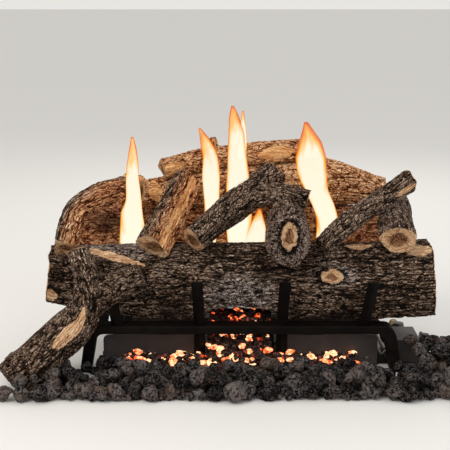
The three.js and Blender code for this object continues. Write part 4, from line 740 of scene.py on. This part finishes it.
# Operators
class LOGSET_OT_front_log(bpy.types.Operator):
    """Builds the long front log with its arch, its sawn knot and its bare patches"""

    bl_idname = "log_set.front_log"
    bl_label = "Front log"

    def execute(self, context):
        spec = {
            **front_spec, "voxel": 0.0018, "points": front_points, "flats": [(-math.pi / 2, FRONT["flat"])],
            "plate_length": 44, "plate_width": 7,
            "bare": [
                (0.155, 121, 62, 9, 0.32), (0.09, 108, 26, 9), (0.81, 100, 24, 11), (0.965, 120, 22, 13),
                (0.01, 215, 16, 11),
            ],
            "ash": [
                ((0, FRONT_FACE, FRONT_BASE - 12), (86, 60, 42), 1),
                ((150, FRONT_FACE, FRONT_BASE + 20), (50, 40, 26), 0.8),
                # The ash patch on the crest at the left end is a painted highlight: the top paler where the
                # light falls.
                ((-190, FRONT_FACE + 40, FRONT_CREST), (120, 60, 30), 0.5),
                ((70, FRONT_FACE, FRONT_CREST), (60, 30, 20), 0.6),
            ],
            "soot": [
                ((-110, FRONT_FACE, FRONT_BASE - 38), (46, 50, 26), 0.6),
                ((150, FRONT_FACE, FRONT_BASE - 50), (60, 40, 22), 0.6),
            ],
        }
        knot = {
            "at": (143.4, FRONT_FACE, FRONT_BASE + 18.6), "axis": (0.1, -1, 0.15), "radius": 18, "rim": 25,
            "height": 8, "tall": 0.66, "ragged": 0.3,
        }
        dark = bark_finish("dark_bark", DARK_BARK, FIRELIT_BARK, PALE_WOOD, stretch=0.2)
        arch = self.arch(context.scene)
        cracks = []
        for along, turn, length, climb in crack_rows:
            turn = turn * 2 * math.pi
            y = FRONT["y"] + FRONT["wide"] / 2 * math.cos(turn)
            z = FRONT_BASE + FRONT["tall"] / 2 * math.sin(turn)
            cracks.append(((along * FRONT["length"], y, z), length * FRONT["length"] / 2, climb / length))
        settings = context.scene.log_set_logs
        make_log("front_log", [spec], dark, settings, [knot], [arch], cracks)
        bpy.data.objects.remove(arch)
        return {"FINISHED"}

    def arch(self, scene):
        """The block that cuts the arch: a round with a wide foot and a low flat crown, drawn out along Y."""
        foot, shoulder, crown, below, front, through = 68, 66, 22, 30, -220, 0.4
        bm = bmesh.new()
        bmesh.ops.create_circle(bm, cap_ends=True, segments=48, radius=1)
        for vert in bm.verts:
            wide, high = vert.co.x, vert.co.y
            half = shoulder - 16 * smooth(0, 1, high) if high > 0 else foot
            rise = crown * math.sin(math.pi / 2 * high) if high > 0 else below * high
            vert.co = Vector((wide * half, front, BAR_TOP + rise)) * MM
        grown(bm, lambda place: place + Vector((0, through, 0)))
        block = bpy.data.objects.new("arch", finished(bm, "arch"))
        scene.collection.objects.link(block)
        return block


class LOGSET_OT_rear_logs(bpy.types.Operator):
    """Builds the rear log, the upper rear log on it and the top log with its upright stub"""

    bl_idname = "log_set.rear_logs"
    bl_label = "Rear logs"

    def execute(self, context):
        settings = context.scene.log_set_logs
        # The rear logs' bark: partly their own warm paint, partly painted firelight, with its level lifted
        # brighter near the flames.
        warm = bark_finish("warm_bark", RED_BARK, FIRELIT_BARK, FIRELIT_WOOD, size=1.3, lift=0.13)
        rear = {
            **rear_spec, "points": rear_points, "flats": [(-math.pi / 2, rear_spec["flat"])], "voxel": 0.0022,
            # Its dark patch at the left end is painted shade under the arch log.
            "plate_width": 10, "warm": 0.4, "soot": [((-228, 50, 212), (64, 60, 44), 0.85)],
        }
        make_log("rear_log", [rear], warm, settings)
        upper = {
            **upper_spec, "points": upper_points, "plate_length": 32, "plate_width": 9, "warm": 1, "torn": 11,
            "bare": [(0.04, 160, 13, 36)], "girth": [*upper_spec["girth"][:-1], 0.6],
        }
        make_log("upper_rear_log", [upper], warm, settings)
        top = {
            **top_spec, "points": top_points, "plate_width": 8, "warm": 1,
            "bare": [(0.83, 176, 36, 14), (0.05, 205, 26, 20)],
        }
        stub_x = top_spec["x"] - 0.13 * top_spec["length"]
        foot = crest(top_points, top_spec, stub_x)
        stub = {
            "points": [(stub_x - 4, 92, foot - 13), (stub_x, 91.6, foot), (stub_x - 2, 92, foot + 15)],
            "wide": 22, "tall": 16, "bark": 0.08, "seed": 1.1, "girth": [1.7, 1.1, 0.8], "sawn_start": False,
            "warm": 1,
        }
        make_log("top_log", [top, stub], warm, settings)
        return {"FINISHED"}


class LOGSET_OT_leaning_logs(bpy.types.Operator):
    """Builds the logs that lean from the front log on to the rear ones"""

    bl_idname = "log_set.leaning_logs"
    bl_label = "Leaning logs"

    def execute(self, context):
        settings = context.scene.log_set_logs
        grey = bark_finish("grey_bark", GREY_BARK, FIRELIT_BARK, PALE_WOOD)
        # The split twig and the arch log take painted firelight: orange on the sides that face the flames.
        fired = bark_finish("firelit_side_bark", GREY_BARK, FIRELIT_BARK, FIRELIT_WOOD, size=1.2, stretch=0.13, lift=0.01)
        plain = {"voxel": 0.0013, "plate_width": 8}
        stub_points = [(x, y, z - 7) for x, y, z in leaning(stub_rows, 44)]
        stub = {
            **plain, "points": stub_points, "wide": 72, "tall": 98, "bark": 0.05, "seed": 2.2,
            "side": LEFTWARDS, "girth": [0.8, 1.04, 1, 0.94, 0.87, 0.8, 0.76], "plate_width": 7,
            "sawn_start": False, "ash": [(stub_points[0], (60, 60, 70), 0.5)],
        }
        foot = Vector(stub_points[0])
        knot = {
            "at": tuple(foot + Vector((0, 0, 12))), "axis": foot - Vector(stub_points[1]), "radius": 13,
            "rim": 19, "height": 7, "tall": 1.75, "ragged": 0.17,
        }
        make_log("centre_stub_log", [stub], grey, settings, [knot])
        end = {
            **plain, "points": leaning(end_rows, 23), "wide": 60, "tall": 46, "bark": 0.05, "seed": 6.8,
            "side": LEFTWARDS, "girth": [0.96, 1, 0.94, 0.84], "plate_length": 40, "depth_share": 0.8,
        }
        make_log("right_end_log", [end], grey, settings)
        split = {
            **plain, "points": leaning(split_rows, 19), "wide": 60, "tall": 38, "bark": 0.03, "seed": 6.4,
            "side": LEFTWARDS, "girth": [1.05, 1, 0.94], "flats": [(math.pi * 0.85, 0.45)],
            "plate_length": 30, "depth_share": 0.8, "bare": [(0.5, 153, 200, 15)], "warm": 0.5,
            "firelit_side": (1, -0.1, 0.1),
        }
        make_log("split_twig_log", [split], fired, settings)
        cross = {
            **plain, "points": leaning(cross_rows, 25), "wide": 50, "tall": 50, "bark": 0.06, "seed": 9.1,
            "girth": [0.88, 1, 1.06, 0.96], "plate_length": 40, "torn": 9,
        }
        limb = {
            "points": leaning(cross_limb_rows, 18), "wide": 36, "tall": 36, "bark": 0.06, "seed": 1.9,
            "girth": [1.15, 1.06, 0.95], "sawn_start": False,
        }
        make_log("centre_forked_branch", [cross, limb], grey, settings)
        branch = {
            **plain, "points": leaning(branch_rows, 18), "wide": 36, "tall": 36, "bark": 0.06, "seed": 4.8,
            "girth": [0.92, 1.02, 1, 1, 1.06], "plate_length": 36, "plate_width": 7, "depth_share": 0.9,
            "torn": 9, "sawn_start": False, "bare": [(0.9, 200, 22, 6)],
        }
        make_log("right_crossing_branch", [branch], grey, settings)
        arch = {
            **plain, "points": leaning(arch_rows, 22), "wide": 44, "tall": 44, "bark": 0.07, "seed": 7.7,
            "girth": [0.8, 0.92, 1.04, 1.0, 1.02, 1.4], "plate_length": 60, "torn": 12,
            "bare": [(0.94, 100, 24, 44), (0.97, 200, 14, 40)], "warm": 0.75, "firelit_side": (1, -0.2, -0.3),
        }
        make_log("left_arch_log", [arch], fired, settings)
        return {"FINISHED"}


class LOGSET_OT_forked_log(bpy.types.Operator):
    """Builds the forked log that stands on the hearth and leans on the front log's left end"""

    bl_idname = "log_set.forked_log"
    bl_label = "Forked log"

    def execute(self, context):
        trunk = {
            "points": leaning_in_front(fork_rows), "wide": 62, "tall": 62, "bark": 0.06, "seed": 3.3,
            "voxel": 0.0014, "girth": [1.05, 1.1, 1.02, 0.7, 0.62], "plate_length": 38, "plate_width": 8,
            "sawn_start": False, "bare": [(0.45, -178, 46, 11)],
        }
        limb = {
            "points": leaning_in_front(fork_limb_rows), "wide": 46, "tall": 46, "bark": 0.06, "seed": 8.2,
            "girth": [1.1, 1.08, 1], "sawn_start": False, "sawn_end": False,
        }
        bm = bmesh.new()
        bmesh.ops.create_cube(bm, size=2, matrix=Matrix.Translation((0, 0, -1)))
        ground = bpy.data.objects.new("ground", finished(bm, "ground"))
        context.scene.collection.objects.link(ground)
        finish = bark_finish("forked_bark", GREY_BARK, FIRELIT_BARK, PALE_WOOD)
        settings = context.scene.log_set_logs
        make_log("front_left_forked_log", [trunk, limb], finish, settings, cutters=[ground])
        bpy.data.objects.remove(ground)
        return {"FINISHED"}


def lump_seed(x, y):
    """A lump's own start of chance, from its place."""
    return int(abs(x) * 1e5 + abs(y) * 1e7)


def add_lump(bm, centre, radius, seed, layer, value, subdivisions, rough, flat, chip):
    """A broken lump: a ball cut back by chance planes and pushed in and out, with a value on each corner."""
    chance = random.Random(seed)
    planes = []
    for _ in range(9):
        facing = Vector(chance.gauss(0, 1) for _ in range(3)).normalized()
        planes.append((facing, chance.uniform(chip, 0.92)))
    turn = Matrix.Rotation(chance.uniform(0, 6.3), 3, "Z")
    turn = turn @ Matrix.Rotation(chance.uniform(-0.6, 0.6), 3, "X")
    shape = Vector((chance.uniform(0.95, 1.25), chance.uniform(0.82, 1.05), flat))
    made = bmesh.ops.create_icosphere(bm, subdivisions=subdivisions, radius=1)
    start = Vector(chance.uniform(0, 90) for _ in range(3))
    for vert in made["verts"]:
        out = vert.co.copy()
        reach = min([1.0] + [edge / out.dot(face) for face, edge in planes if out.dot(face) > edge])
        reach += rough * (noise.noise(start + out * 1.2) * 0.8 + 0.35 * noise.noise(start + out * 3.2))
        vert.co = centre + turn @ Vector(a * b for a, b in zip(out * reach, shape)) * radius
        vert[layer] = value


def scatter(left, right, front, back, pitch, seed, loose=0.3):
    """Places in staggered rows over a rectangle, each shifted by chance."""
    chance = random.Random(seed)
    rows = max(2, round((back - front) / (pitch * 0.87)) + 1)
    columns = int((right - left) / pitch) + 1
    for j in range(rows):
        for i in range(columns):
            x = left + (i + 0.5 * (j % 2)) * pitch + chance.uniform(-loose, loose) * pitch
            y = front + j * (back - front) / (rows - 1) + chance.uniform(-loose, loose) * pitch
            if x < right:
                yield x, y, chance


def lava_finish(colour):
    """Dark porous rock: deep pits, a dusty top tone and a tone of its own on each rock."""
    finish = Finish("lava_rock", specular_ior_level=0.06)
    place = finish.place()
    own = finish.attribute("tone")
    grit = finish.noise(place, 330, detail=5, rough=0.75)
    broad = finish.noise(place, 90, detail=3)
    bent = finish.swayed(place, 140, 2, 0.016)
    # Pits and hollows are painted dark: the shade inside small holes that the mesh does not have.
    pits = finish.step(finish.cells(bent, 300, "F1") + (grit - 0.5) * 0.6, 0.08, 0.4)
    vugs = finish.step(finish.noise(place, 170, detail=2) + (grit - 0.5) * 0.3, 0.38, 0.46)
    level = grit * 2.0 + broad * 0.6 + own * 0.5 + pits * 0.44 + vugs * 0.36 - 1.78
    dark, pale = [tuple(min(1, c * share) for c in colour) + (1,) for share in (0.08, 4.6)]
    shade = finish.ramp(level, [(0.16, dark), (0.44, tuple(colour) + (1,)), (0.8, pale)])
    rust = finish.step(finish.noise(place, 34, detail=2) + own * 0.3, 0.66, 0.86) * 0.4
    shade = finish.mix(rust, shade, tone(92, 68, 50))
    finish.set(base_color=shade, roughness=0.98 - grit * 0.1)
    finish.set(normal=finish.bump(grit + pits * 0.6 + vugs, 0.0036))
    return finish.material


class LOGSET_OT_lava_rock(bpy.types.Operator):
    """Scatters broken lava rock in front of the tray and beside the grate, in four beds"""

    bl_idname = "log_set.lava_rock"
    bl_label = "Lava rock"

    BED_LENGTH = 0.212
    LAYERS = [(0.8, -0.241, -0.161, 1), (1.75, -0.232, -0.17, 0.72)]
    BY_FORKED_LOG = [
        (-0.352, -0.249), (-0.325, -0.251), (-0.298, -0.249), (-0.352, -0.185), (-0.349, -0.152),
        (-0.33, -0.13),
    ]
    GRATE_SIDE = 0.272

    def places(self, radius, pitch, start):
        """Where each rock lies and its size: two layers, a few by the forked log, a pile, then gravel."""
        found = []
        for number, (height, front, back, share) in enumerate(self.LAYERS):
            strip = scatter(-0.36, 0.393, front, back, pitch, start + number)
            sides = scatter(-0.352, 0.39, back + pitch * 0.7, -0.112, pitch, start + 10 + number)
            for x, y, chance in [*strip, *[place for place in sides if abs(place[0]) > self.GRATE_SIDE]]:
                size = radius * chance.choice([0.6, 0.82, 0.95, 1.03, 1.14])
                if chance.random() < share:
                    found.append((x, y, max(size * 0.8, radius * height), size))
        for i, (x, y) in enumerate(self.BY_FORKED_LOG):
            found.append((x, y, radius * 0.75, radius * (0.8 + 0.1 * (i % 3))))
        for x, y, chance in scatter(0.278, 0.376, -0.15, -0.098, pitch, start + 30):
            found.append((x, y, radius * 3.0, radius * chance.uniform(0.65, 1.05)))
        for x, y, chance in scatter(-0.31, 0.388, -0.244, -0.163, pitch * 0.5, start + 50):
            if chance.random() < 0.9:
                found.append((x, y, radius * 0.4, radius * 0.5))
        return found

    def execute(self, context):
        settings = context.scene.log_set_rock
        material = lava_finish(settings.colour)
        radius = settings.size
        places = self.places(radius, settings.pitch, settings.seed)
        chance = random.Random(settings.seed)
        trunk = Line(leaning_in_front(fork_rows)).points * MM
        for bed in range(4):
            left = (bed - 2) * self.BED_LENGTH
            bm = bmesh.new()
            layer = bm.verts.layers.float.new("tone")
            for x, y, z, size in places:
                away = np.linalg.norm(trunk - np.array([x, y, z]), axis=1).min()
                if left <= x < left + self.BED_LENGTH and away > 0.024 + size * 0.55:
                    detail = 3 if size > radius * 0.6 else 2
                    place, start, own = Vector((x, y, z)), lump_seed(x, y), chance.random()
                    add_lump(bm, place, size, start, layer, own, detail, 0.26, 0.86, 0.58)
            for vert in bm.verts:
                vert.co.z = max(vert.co.z, 0.0)
            name = f"lava_rock_bed_{bed + 1}"
            mesh = finished(bm, name)
            mesh.materials.append(material)
            new_piece(f"lava_rocks_{bed + 1}", mesh, name)
        return {"FINISHED"}


def ember_finish(glow):
    """Fibre and vermiculite that glows: ash-grey where it is cool, red-edged and pale where it is hot."""
    finish = Finish("ember", specular_ior_level=0.05, emission_strength=glow)
    place = finish.place()
    grit = finish.noise(place, 380, detail=5, rough=0.75)
    broad = finish.noise(place, 150, detail=2)
    warmth = finish.attribute("warmth") * 1.15 + (broad - 0.5) * 1.5 + (grit - 0.5) * 0.7
    cool = [(0.4, (16, 11, 10)), (0.6, (50, 39, 36)), (0.8, (120, 104, 96))]
    ash = finish.tones(grit * 0.8 + broad * 0.4, cool)
    # Where it is hot, the base colour turns red as well: painted glow.
    finish.set(base_color=finish.mix(finish.step(warmth, 0.3, 0.8), ash, tone(160, 60, 26)))
    light = finish.tones(warmth, [
        (0.42, (0, 0, 0)), (0.54, (120, 20, 8)), (0.68, (228, 82, 36)), (0.84, (252, 158, 100)),
        (1, (255, 214, 166)),
    ])
    finish.set(emission_color=light, roughness=0.98 - grit * 0.1, normal=finish.bump(grit, 0.002, 0.9))
    return finish.material


class LOGSET_OT_embers(bpy.types.Operator):
    """Scatters glowing embers over the front burner and up the ramp, in three beds"""

    bl_idname = "log_set.embers"
    bl_label = "Embers"

    FRONT_EDGE = -0.1475
    TUBE_Y = -0.132
    UNDER_LOG_FROM = -0.088
    DOWN_TO_TRAY = math.inf

    def over_tube(self, y):
        """The bed's height where it covers the front burner's tube."""
        return 0.012 + 0.012 * math.exp(-(((y - self.TUBE_Y) / 0.016) ** 2))

    def up_ramp(self, y):
        """The bed's height where it climbs from the tube up the ramp."""
        return max(self.over_tube(y), 0.034 + 0.05 * (y + 0.118) / 0.056)

    def add_bed(self, bm, node, back, height, thick):
        """The bed under the loose embers: an uneven sheet with a skirt down to the tray or along the ramp."""
        low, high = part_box(node)
        made = bmesh.ops.create_grid(bm, x_segments=24, y_segments=20, size=1)
        for vert in made["verts"]:
            x = (low[0] + high[0]) / 2 + vert.co.x * (high[0] - low[0]) * 0.47
            y = (self.FRONT_EDGE + back) / 2 + vert.co.y * (back - self.FRONT_EDGE) / 2
            z = height(y) - 0.004 + 0.0022 * noise.noise(Vector((x, y, 0)) * 160)
            vert.co = Vector((x, y, z))
        grown(bm, lambda place: Vector((place.x, place.y, max(0.0005, place.z - thick))))

    def execute(self, context):
        settings = context.scene.log_set_embers
        material = ember_finish(settings.glow)
        beds = [
            ("embers_left", "ember_bed_left", -0.186, -0.054, -0.1, self.over_tube, self.DOWN_TO_TRAY, 0.26),
            ("embers_right", "ember_bed_right", 0.054, 0.188, -0.1, self.over_tube, self.DOWN_TO_TRAY, 0.24),
            ("embers_centre", "ember_bed_centre", -0.05, 0.05, -0.061, self.up_ramp, 0.008, 0.3),
        ]
        for name, node, left, right, back, height, thick, hot in beds:
            bm = bmesh.new()
            layer = bm.verts.layers.float.new("warmth")
            self.add_bed(bm, node, back, height, thick)
            front = self.FRONT_EDGE + 0.004
            for x, y, chance in scatter(left, right, front, back, settings.pitch, settings.seed, 0.45):
                under_log = y > self.UNDER_LOG_FROM
                for level, shown in enumerate((0.95, 0.6, 0.3)):
                    size = settings.size * chance.choice([0.55, 0.75, 0.9, 1.15, 1.4])
                    z = height(y) + 0.001 + level * settings.size * 0.7 + chance.uniform(-0.001, 0.002)
                    hottest = (0.42 if under_log else 0.68) + 0.26 * chance.random()
                    lit = hot * (0.7 + 0.3 * level) * (0.6 if under_log else 1)
                    warmth = hottest if chance.random() < lit else 0.3 * chance.random()
                    if chance.random() < shown:
                        seed = lump_seed(x, y) + level
                        add_lump(bm, Vector((x, y, z)), size, seed, layer, warmth, 2, 0.4, 0.6, 0.3)
            mesh = finished(bm, name)
            mesh.materials.append(material)
            new_piece(name, mesh, node)
        return {"FINISHED"}


def metal_finish(name, colour, worn, metallic, roughness, scratch, grain=240, shine=0.5):
    """Metal with a fine grain, soft blotches of wear and a roughness that follows them."""
    finish = Finish(name, metallic=metallic, specular_ior_level=shine)
    place = finish.place()
    fine = finish.noise(place, grain, detail=6, rough=0.65)
    broad = finish.noise(place, 22, detail=4, warp=0.3)
    streak = finish.noise(finish.scaled(place, (0.25, 1, 1)), 180, detail=3)
    wear = finish.step(broad * 0.7 + fine * 0.35 + streak * 0.15, 0.52, 0.86)
    finish.set(base_color=finish.mix(wear, tone(*colour), tone(*worn)))
    finish.set(roughness=roughness + (fine - 0.5) * scratch + (broad - 0.5) * scratch * 1.6)
    finish.set(normal=finish.bump(fine + streak * 0.4, 0.00035, 0.45))
    return finish.material


def plain_finish(name, colour, worn, roughness, grain=300):
    """Moulded plastic or fired clay: a faint mottle and a fine skin."""
    finish = Finish(name)
    place = finish.place()
    fine = finish.noise(place, grain, detail=5)
    broad = finish.noise(place, 40, detail=3)
    wear = finish.step(broad * 0.6 + fine * 0.5, 0.4, 0.75)
    finish.set(base_color=finish.mix(wear, tone(*colour), tone(*worn)))
    finish.set(roughness=roughness + (fine - 0.5) * 0.16)
    finish.set(normal=finish.bump(fine, 0.0002, 0.3))
    return finish.material


def dress(material, *names):
    """Gives nodes of the frame a material."""
    for name in names:
        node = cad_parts[name]
        node.data.materials.clear()
        node.data.materials.append(material)


class LOGSET_OT_steelwork(bpy.types.Operator):
    """Finishes the grate, the tray, the front panel and the rests in heat paint"""

    bl_idname = "log_set.steelwork"
    bl_label = "Grate and tray"

    def execute(self, context):
        black = metal_finish("black_heat_paint", (9, 6, 5), (26, 20, 16), 0, 0.6, 0.2, shine=0.08)
        dress(black, "grate_front_frame", "grate_rear_frame")
        dress(black, *[f"grate_{part}_{i}" for part in ("bar", "finger") for i in range(1, 5)])
        sheet = metal_finish("sheet_heat_paint", (24, 20, 19), (44, 37, 34), 0, 0.6, 0.2, 420, 0.1)
        dress(sheet, "base_tray", "rear_log_rest_left", "rear_log_rest_right", "burner_cradle", "ember_ramp")
        dress(sheet, "control_shelf", "pilot_bracket")
        charcoal = metal_finish("charcoal_heat_paint", (68, 62, 61), (84, 77, 75), 0, 0.52, 0.16, 520, 0.3)
        dress(charcoal, "front_panel", "control_cover")
        zinc = metal_finish("zinc_plate", (96, 94, 92), (66, 63, 60), 0.8, 0.42, 0.2, grain=700)
        dress(zinc, "panel_screw_left", "panel_screw_right")
        return {"FINISHED"}


class LOGSET_OT_burners(bpy.types.Operator):
    """Finishes the burners, their pipes and the pilot"""

    bl_idname = "log_set.burners"
    bl_label = "Burners and pilot"

    def execute(self, context):
        steel = metal_finish("burner_steel", (112, 106, 100), (72, 54, 44), 0.85, 0.42, 0.25)
        dress(steel, "rear_burner_tube", "burner_mixer_tube", "air_shutter", "front_burner_tube")
        dress(steel, "pilot_burner")
        copper = metal_finish("drawn_copper", (92, 60, 44), (58, 42, 34), 0.35, 0.6, 0.2, grain=500)
        dress(copper, "burner_supply_pipe", "front_burner_feed", "pilot_gas_tube", "thermocouple")
        brass = metal_finish("turned_brass", (142, 112, 62), (96, 72, 42), 0.8, 0.42, 0.2, grain=800)
        dress(brass, "gas_orifice", "gas_inlet_fitting", "valve_plug", "valve_stem")
        clay = plain_finish("fired_clay", (228, 220, 204), (204, 190, 168), 0.45)
        dress(clay, "spark_electrode")
        return {"FINISHED"}


class LOGSET_OT_controls(bpy.types.Operator):
    """Finishes the gas controls"""

    bl_idname = "log_set.controls"
    bl_label = "Gas controls"

    def execute(self, context):
        casting = metal_finish("die_casting", (84, 84, 85), (60, 59, 58), 0.6, 0.52, 0.2, grain=600)
        dress(casting, "valve_body", "valve_bonnet", "pressure_regulator")
        moulded = plain_finish("black_moulding", (13, 13, 14), (26, 25, 25), 0.36, grain=900)
        dress(moulded, "control_knob", "piezo_igniter", "igniter_button")
        return {"FINISHED"}


# Each flame's rows from its foot to its tip: its left edge, right edge and height in the view's pixels
FLAMES = {
    "flame_left": [
        (121, 143, 262), (120, 145, 240), (120, 145, 228), (120, 142, 212), (125, 141, 200), (126, 139, 180),
        (127, 139, 165), (129, 137, 150), (131, 133.5, 137),
    ],
    "flame_middle_left": [
        (206, 214, 262), (205, 218, 230), (204, 219, 211), (203, 219, 196), (202, 220, 176), (203, 219, 158),
        (201, 216, 148), (200, 210, 139), (198.5, 200.5, 128),
    ],
    "flame_middle": [
        (230, 244, 262), (226, 252, 225), (225, 252, 205), (225, 250, 188), (227, 248, 168), (228, 246, 150),
        (229, 245, 132), (229, 240, 118), (231, 234, 106),
    ],
    "flame_middle_tip": [(236, 247, 160), (238, 247, 142), (240, 246, 126), (242, 244, 111)],
    "flame_low": [
        (250, 262, 264), (240, 266, 246), (244, 266, 236), (250, 266, 226), (254, 264, 217), (258, 261, 209),
    ],
    "flame_right": [
        (320, 332, 264), (316, 336, 244), (316, 338, 222), (311, 334, 205), (305, 328, 190), (298, 328, 174),
        (296, 328, 158), (299, 322, 142), (302, 314, 131), (304, 308, 122),
    ],
}


def seen_at(px, py, y):
    """The place in the frame that a point of the view shows, at a depth y."""
    up = Vector((0, math.sin(CAMERA_TILT), math.cos(CAMERA_TILT)))
    eye = CAMERA_TARGET - CAMERA_AHEAD * CAMERA_DISTANCE
    scale = SENSOR / CAMERA_LENS / IMAGE
    ray = CAMERA_AHEAD + Vector((1, 0, 0)) * (px - IMAGE / 2) * scale + up * (IMAGE / 2 - py) * scale
    return eye + ray * ((y - eye.y) / ray.y)


def flame_material(strength):
    """Burning gas: orange at its thin edge and tip, near white at its core, clear where it thins out."""
    material = bpy.data.materials.new("burning_gas")
    gas = Shading(material)
    height = gas.attribute("height")
    core = (1 - gas.node("ShaderNodeLayerWeight", None, {"Blend": 0.5}, out="Facing")) ** 1.1
    wisp = gas.noise(gas.scaled(gas.place(), (1, 1, 0.22)), 75, detail=4, warp=0.6)
    warmth = core + (wisp - 0.5) * 0.8
    warmth = warmth - gas.step(height, 0.6, 1.05) * 0.5 - gas.step(1 - height, 0.9, 1) * 0.2
    colour = gas.tones(warmth, [
        (0.12, (222, 84, 14)), (0.36, (248, 134, 34)), (0.56, (255, 200, 104)), (0.8, (255, 248, 222)),
    ])
    glow = gas.node("ShaderNodeEmission", None, {"Color": colour, "Strength": strength})
    clear = gas.node("ShaderNodeBsdfTransparent")
    shape = core + (wisp - 0.5) * 0.4
    cover = gas.step(shape * gas.step(height, -0.12, 0.12), 0.06, 0.5) * (1 - 0.35 * height)
    gas.end("ShaderNodeOutputMaterial", gas.node("ShaderNodeMixShader", None, {0: cover, 1: clear, 2: glow}))
    return material


class LOGSET_OT_flames(bpy.types.Operator):
    """Builds the burning gas over the rear burner, which is part of the stage and not of the log set"""

    bl_idname = "log_set.flames"
    bl_label = "Flames"

    def execute(self, context):
        material = flame_material(context.scene.log_set_stage.flame)
        for name, rows in FLAMES.items():
            depth = 0.012 if name == "flame_right" else 0.004
            edges = [(seen_at(left, py, depth), seen_at(right, py, depth)) for left, right, py in rows]
            line = [((left + right) / 2) / MM for left, right in edges]
            half = [(right - left).length / 2 / MM for left, right in edges]
            path = Line(line, steps=80)
            reach = [0.0]
            for first, second in zip(line, line[1:]):
                reach.append(reach[-1] + (second - first).length)
            bm, share, around = rod(segments=28, rings=36)
            layer = bm.verts.layers.float.new("height")
            wide = np.interp(share * reach[-1], reach, half)
            ripple = 1 + 0.07 * np.sin(3 * around + 9 * share + depth * 900)
            places = path.blend(path.points, share)
            places = places + np.outer(wide * ripple * np.cos(around), (1, 0, 0))
            places = places + np.outer(wide * 0.62 * ripple * np.sin(around), (0, 1, 0))
            for vert, place, level in zip(bm.verts, places, share):
                vert.co = Vector(place) * MM
                vert[layer] = level
            bmesh.ops.recalc_face_normals(bm, faces=list(bm.faces))
            mesh = finished(bm, name)
            mesh.materials.append(material)
            flame = bpy.data.objects.new(name, mesh)
            context.scene.collection.objects.link(flame)
            flame.visible_shadow = False
        return {"FINISHED"}


class LOGSET_OT_stage(bpy.types.Operator):
    """Lays the pale floor, sets the soft lights and the camera"""

    bl_idname = "log_set.stage"
    bl_label = "Stage"

    SKY_TINT = (1, 0.985, 0.96, 1)

    def execute(self, context):
        scene = context.scene
        self.lay_floor(scene, scene.log_set_stage.floor)
        self.light(scene, scene.log_set_stage)
        self.set_camera(scene)
        scene.view_settings.view_transform = "Standard"
        return {"FINISHED"}

    def lay_floor(self, scene, colour):
        """A flat pale sheet just below the log set."""
        bm = bmesh.new()
        bmesh.ops.create_grid(bm, x_segments=1, y_segments=1, size=40)
        floor = bpy.data.objects.new("floor", finished(bm, "floor"))
        floor.location.z = -0.0005
        scene.collection.objects.link(floor)
        finish = Finish("floor", specular_ior_level=0.1, roughness=0.9, base_color=tuple(colour) + (1,))
        floor.data.materials.append(finish.material)

    def light(self, scene, settings):
        """Even light from all round, three soft lamps, and a pale background to the camera and to metal."""
        scene.world = bpy.data.worlds.new("studio")
        studio = Shading(scene.world)
        rays = [studio.node("ShaderNodeLightPath", out=f"Is {kind} Ray") for kind in ("Camera", "Glossy")]
        seen = studio.node("ShaderNodeMath", {"operation": "MAXIMUM"}, dict(enumerate(rays)))
        sky = studio.node("ShaderNodeBackground", None, {"Color": self.SKY_TINT, "Strength": settings.sky})
        shown = studio.node("ShaderNodeBackground", None, {"Color": tone(232, 230, 226)})
        either = studio.node("ShaderNodeMixShader", None, {0: seen, 1: sky, 2: shown})
        studio.end("ShaderNodeOutputWorld", either)
        lamps = [
            ("key", settings.key, 1.1, (-1.1, -1.35, 1.7), (1, 0.95, 0.88)),
            ("fill", settings.fill, 1.4, (1.5, -1.2, 0.9), (0.9, 0.95, 1)),
            ("rim", settings.fill, 1.0, (0.3, 1.6, 1.5), (1, 0.97, 0.94)),
        ]
        for name, power, size, place, colour in lamps:
            lamp = bpy.data.lights.new(name, "AREA")
            lamp.energy, lamp.size, lamp.color = power, size, colour
            holder = bpy.data.objects.new(name, lamp)
            holder.location = place
            holder.rotation_euler = (CAMERA_TARGET - Vector(place)).to_track_quat("-Z", "Y").to_euler()
            scene.collection.objects.link(holder)

    def set_camera(self, scene):
        """The camera, looking down on the log set from in front."""
        camera = bpy.data.cameras.new("camera")
        camera.lens, camera.sensor_width = CAMERA_LENS, SENSOR
        camera.clip_start, camera.clip_end = 0.05, 50
        view = bpy.data.objects.new("camera", camera)
        view.location = CAMERA_TARGET - CAMERA_AHEAD * CAMERA_DISTANCE
        view.rotation_euler = (math.pi / 2 - CAMERA_TILT, 0, 0)
        scene.collection.objects.link(view)
        scene.camera = view


OPERATORS = (
    LOGSET_OT_stage, LOGSET_OT_steelwork, LOGSET_OT_burners, LOGSET_OT_controls, LOGSET_OT_lava_rock,
    LOGSET_OT_embers, LOGSET_OT_front_log, LOGSET_OT_rear_logs, LOGSET_OT_leaning_logs, LOGSET_OT_forked_log,
    LOGSET_OT_flames,
)
GROUPS = {
    "log_set_logs": LogSettings, "log_set_embers": EmberSettings, "log_set_rock": RockSettings,
    "log_set_stage": StageSettings,
}


class LOGSET_PT_panel(bpy.types.Panel):
    """Lists the settings and the operators of the log set"""

    bl_idname = "LOGSET_PT_panel"
    bl_label = "Gas log set"
    bl_space_type = "VIEW_3D"
    bl_region_type = "UI"
    bl_category = "Log set"

    def draw(self, context):
        for name, group in GROUPS.items():
            column = self.layout.column(align=True)
            for setting in group.__annotations__:
                column.prop(getattr(context.scene, name), setting)
        for operator in OPERATORS:
            self.layout.operator(operator.bl_idname)


CLASSES = (*GROUPS.values(), *OPERATORS, LOGSET_PT_panel)


def register():
    for group in CLASSES:
        bpy.utils.register_class(group)
    for name, group in GROUPS.items():
        setattr(bpy.types.Scene, name, PointerProperty(type=group))


def unregister():
    for name in GROUPS:
        delattr(bpy.types.Scene, name)
    for group in reversed(CLASSES):
        bpy.utils.unregister_class(group)


def main():
    """Builds everything in order."""
    register()
    for operator in OPERATORS:
        area, name = operator.bl_idname.split(".")
        getattr(getattr(bpy.ops, area), name)()


if __name__ == "__main__":
    main()
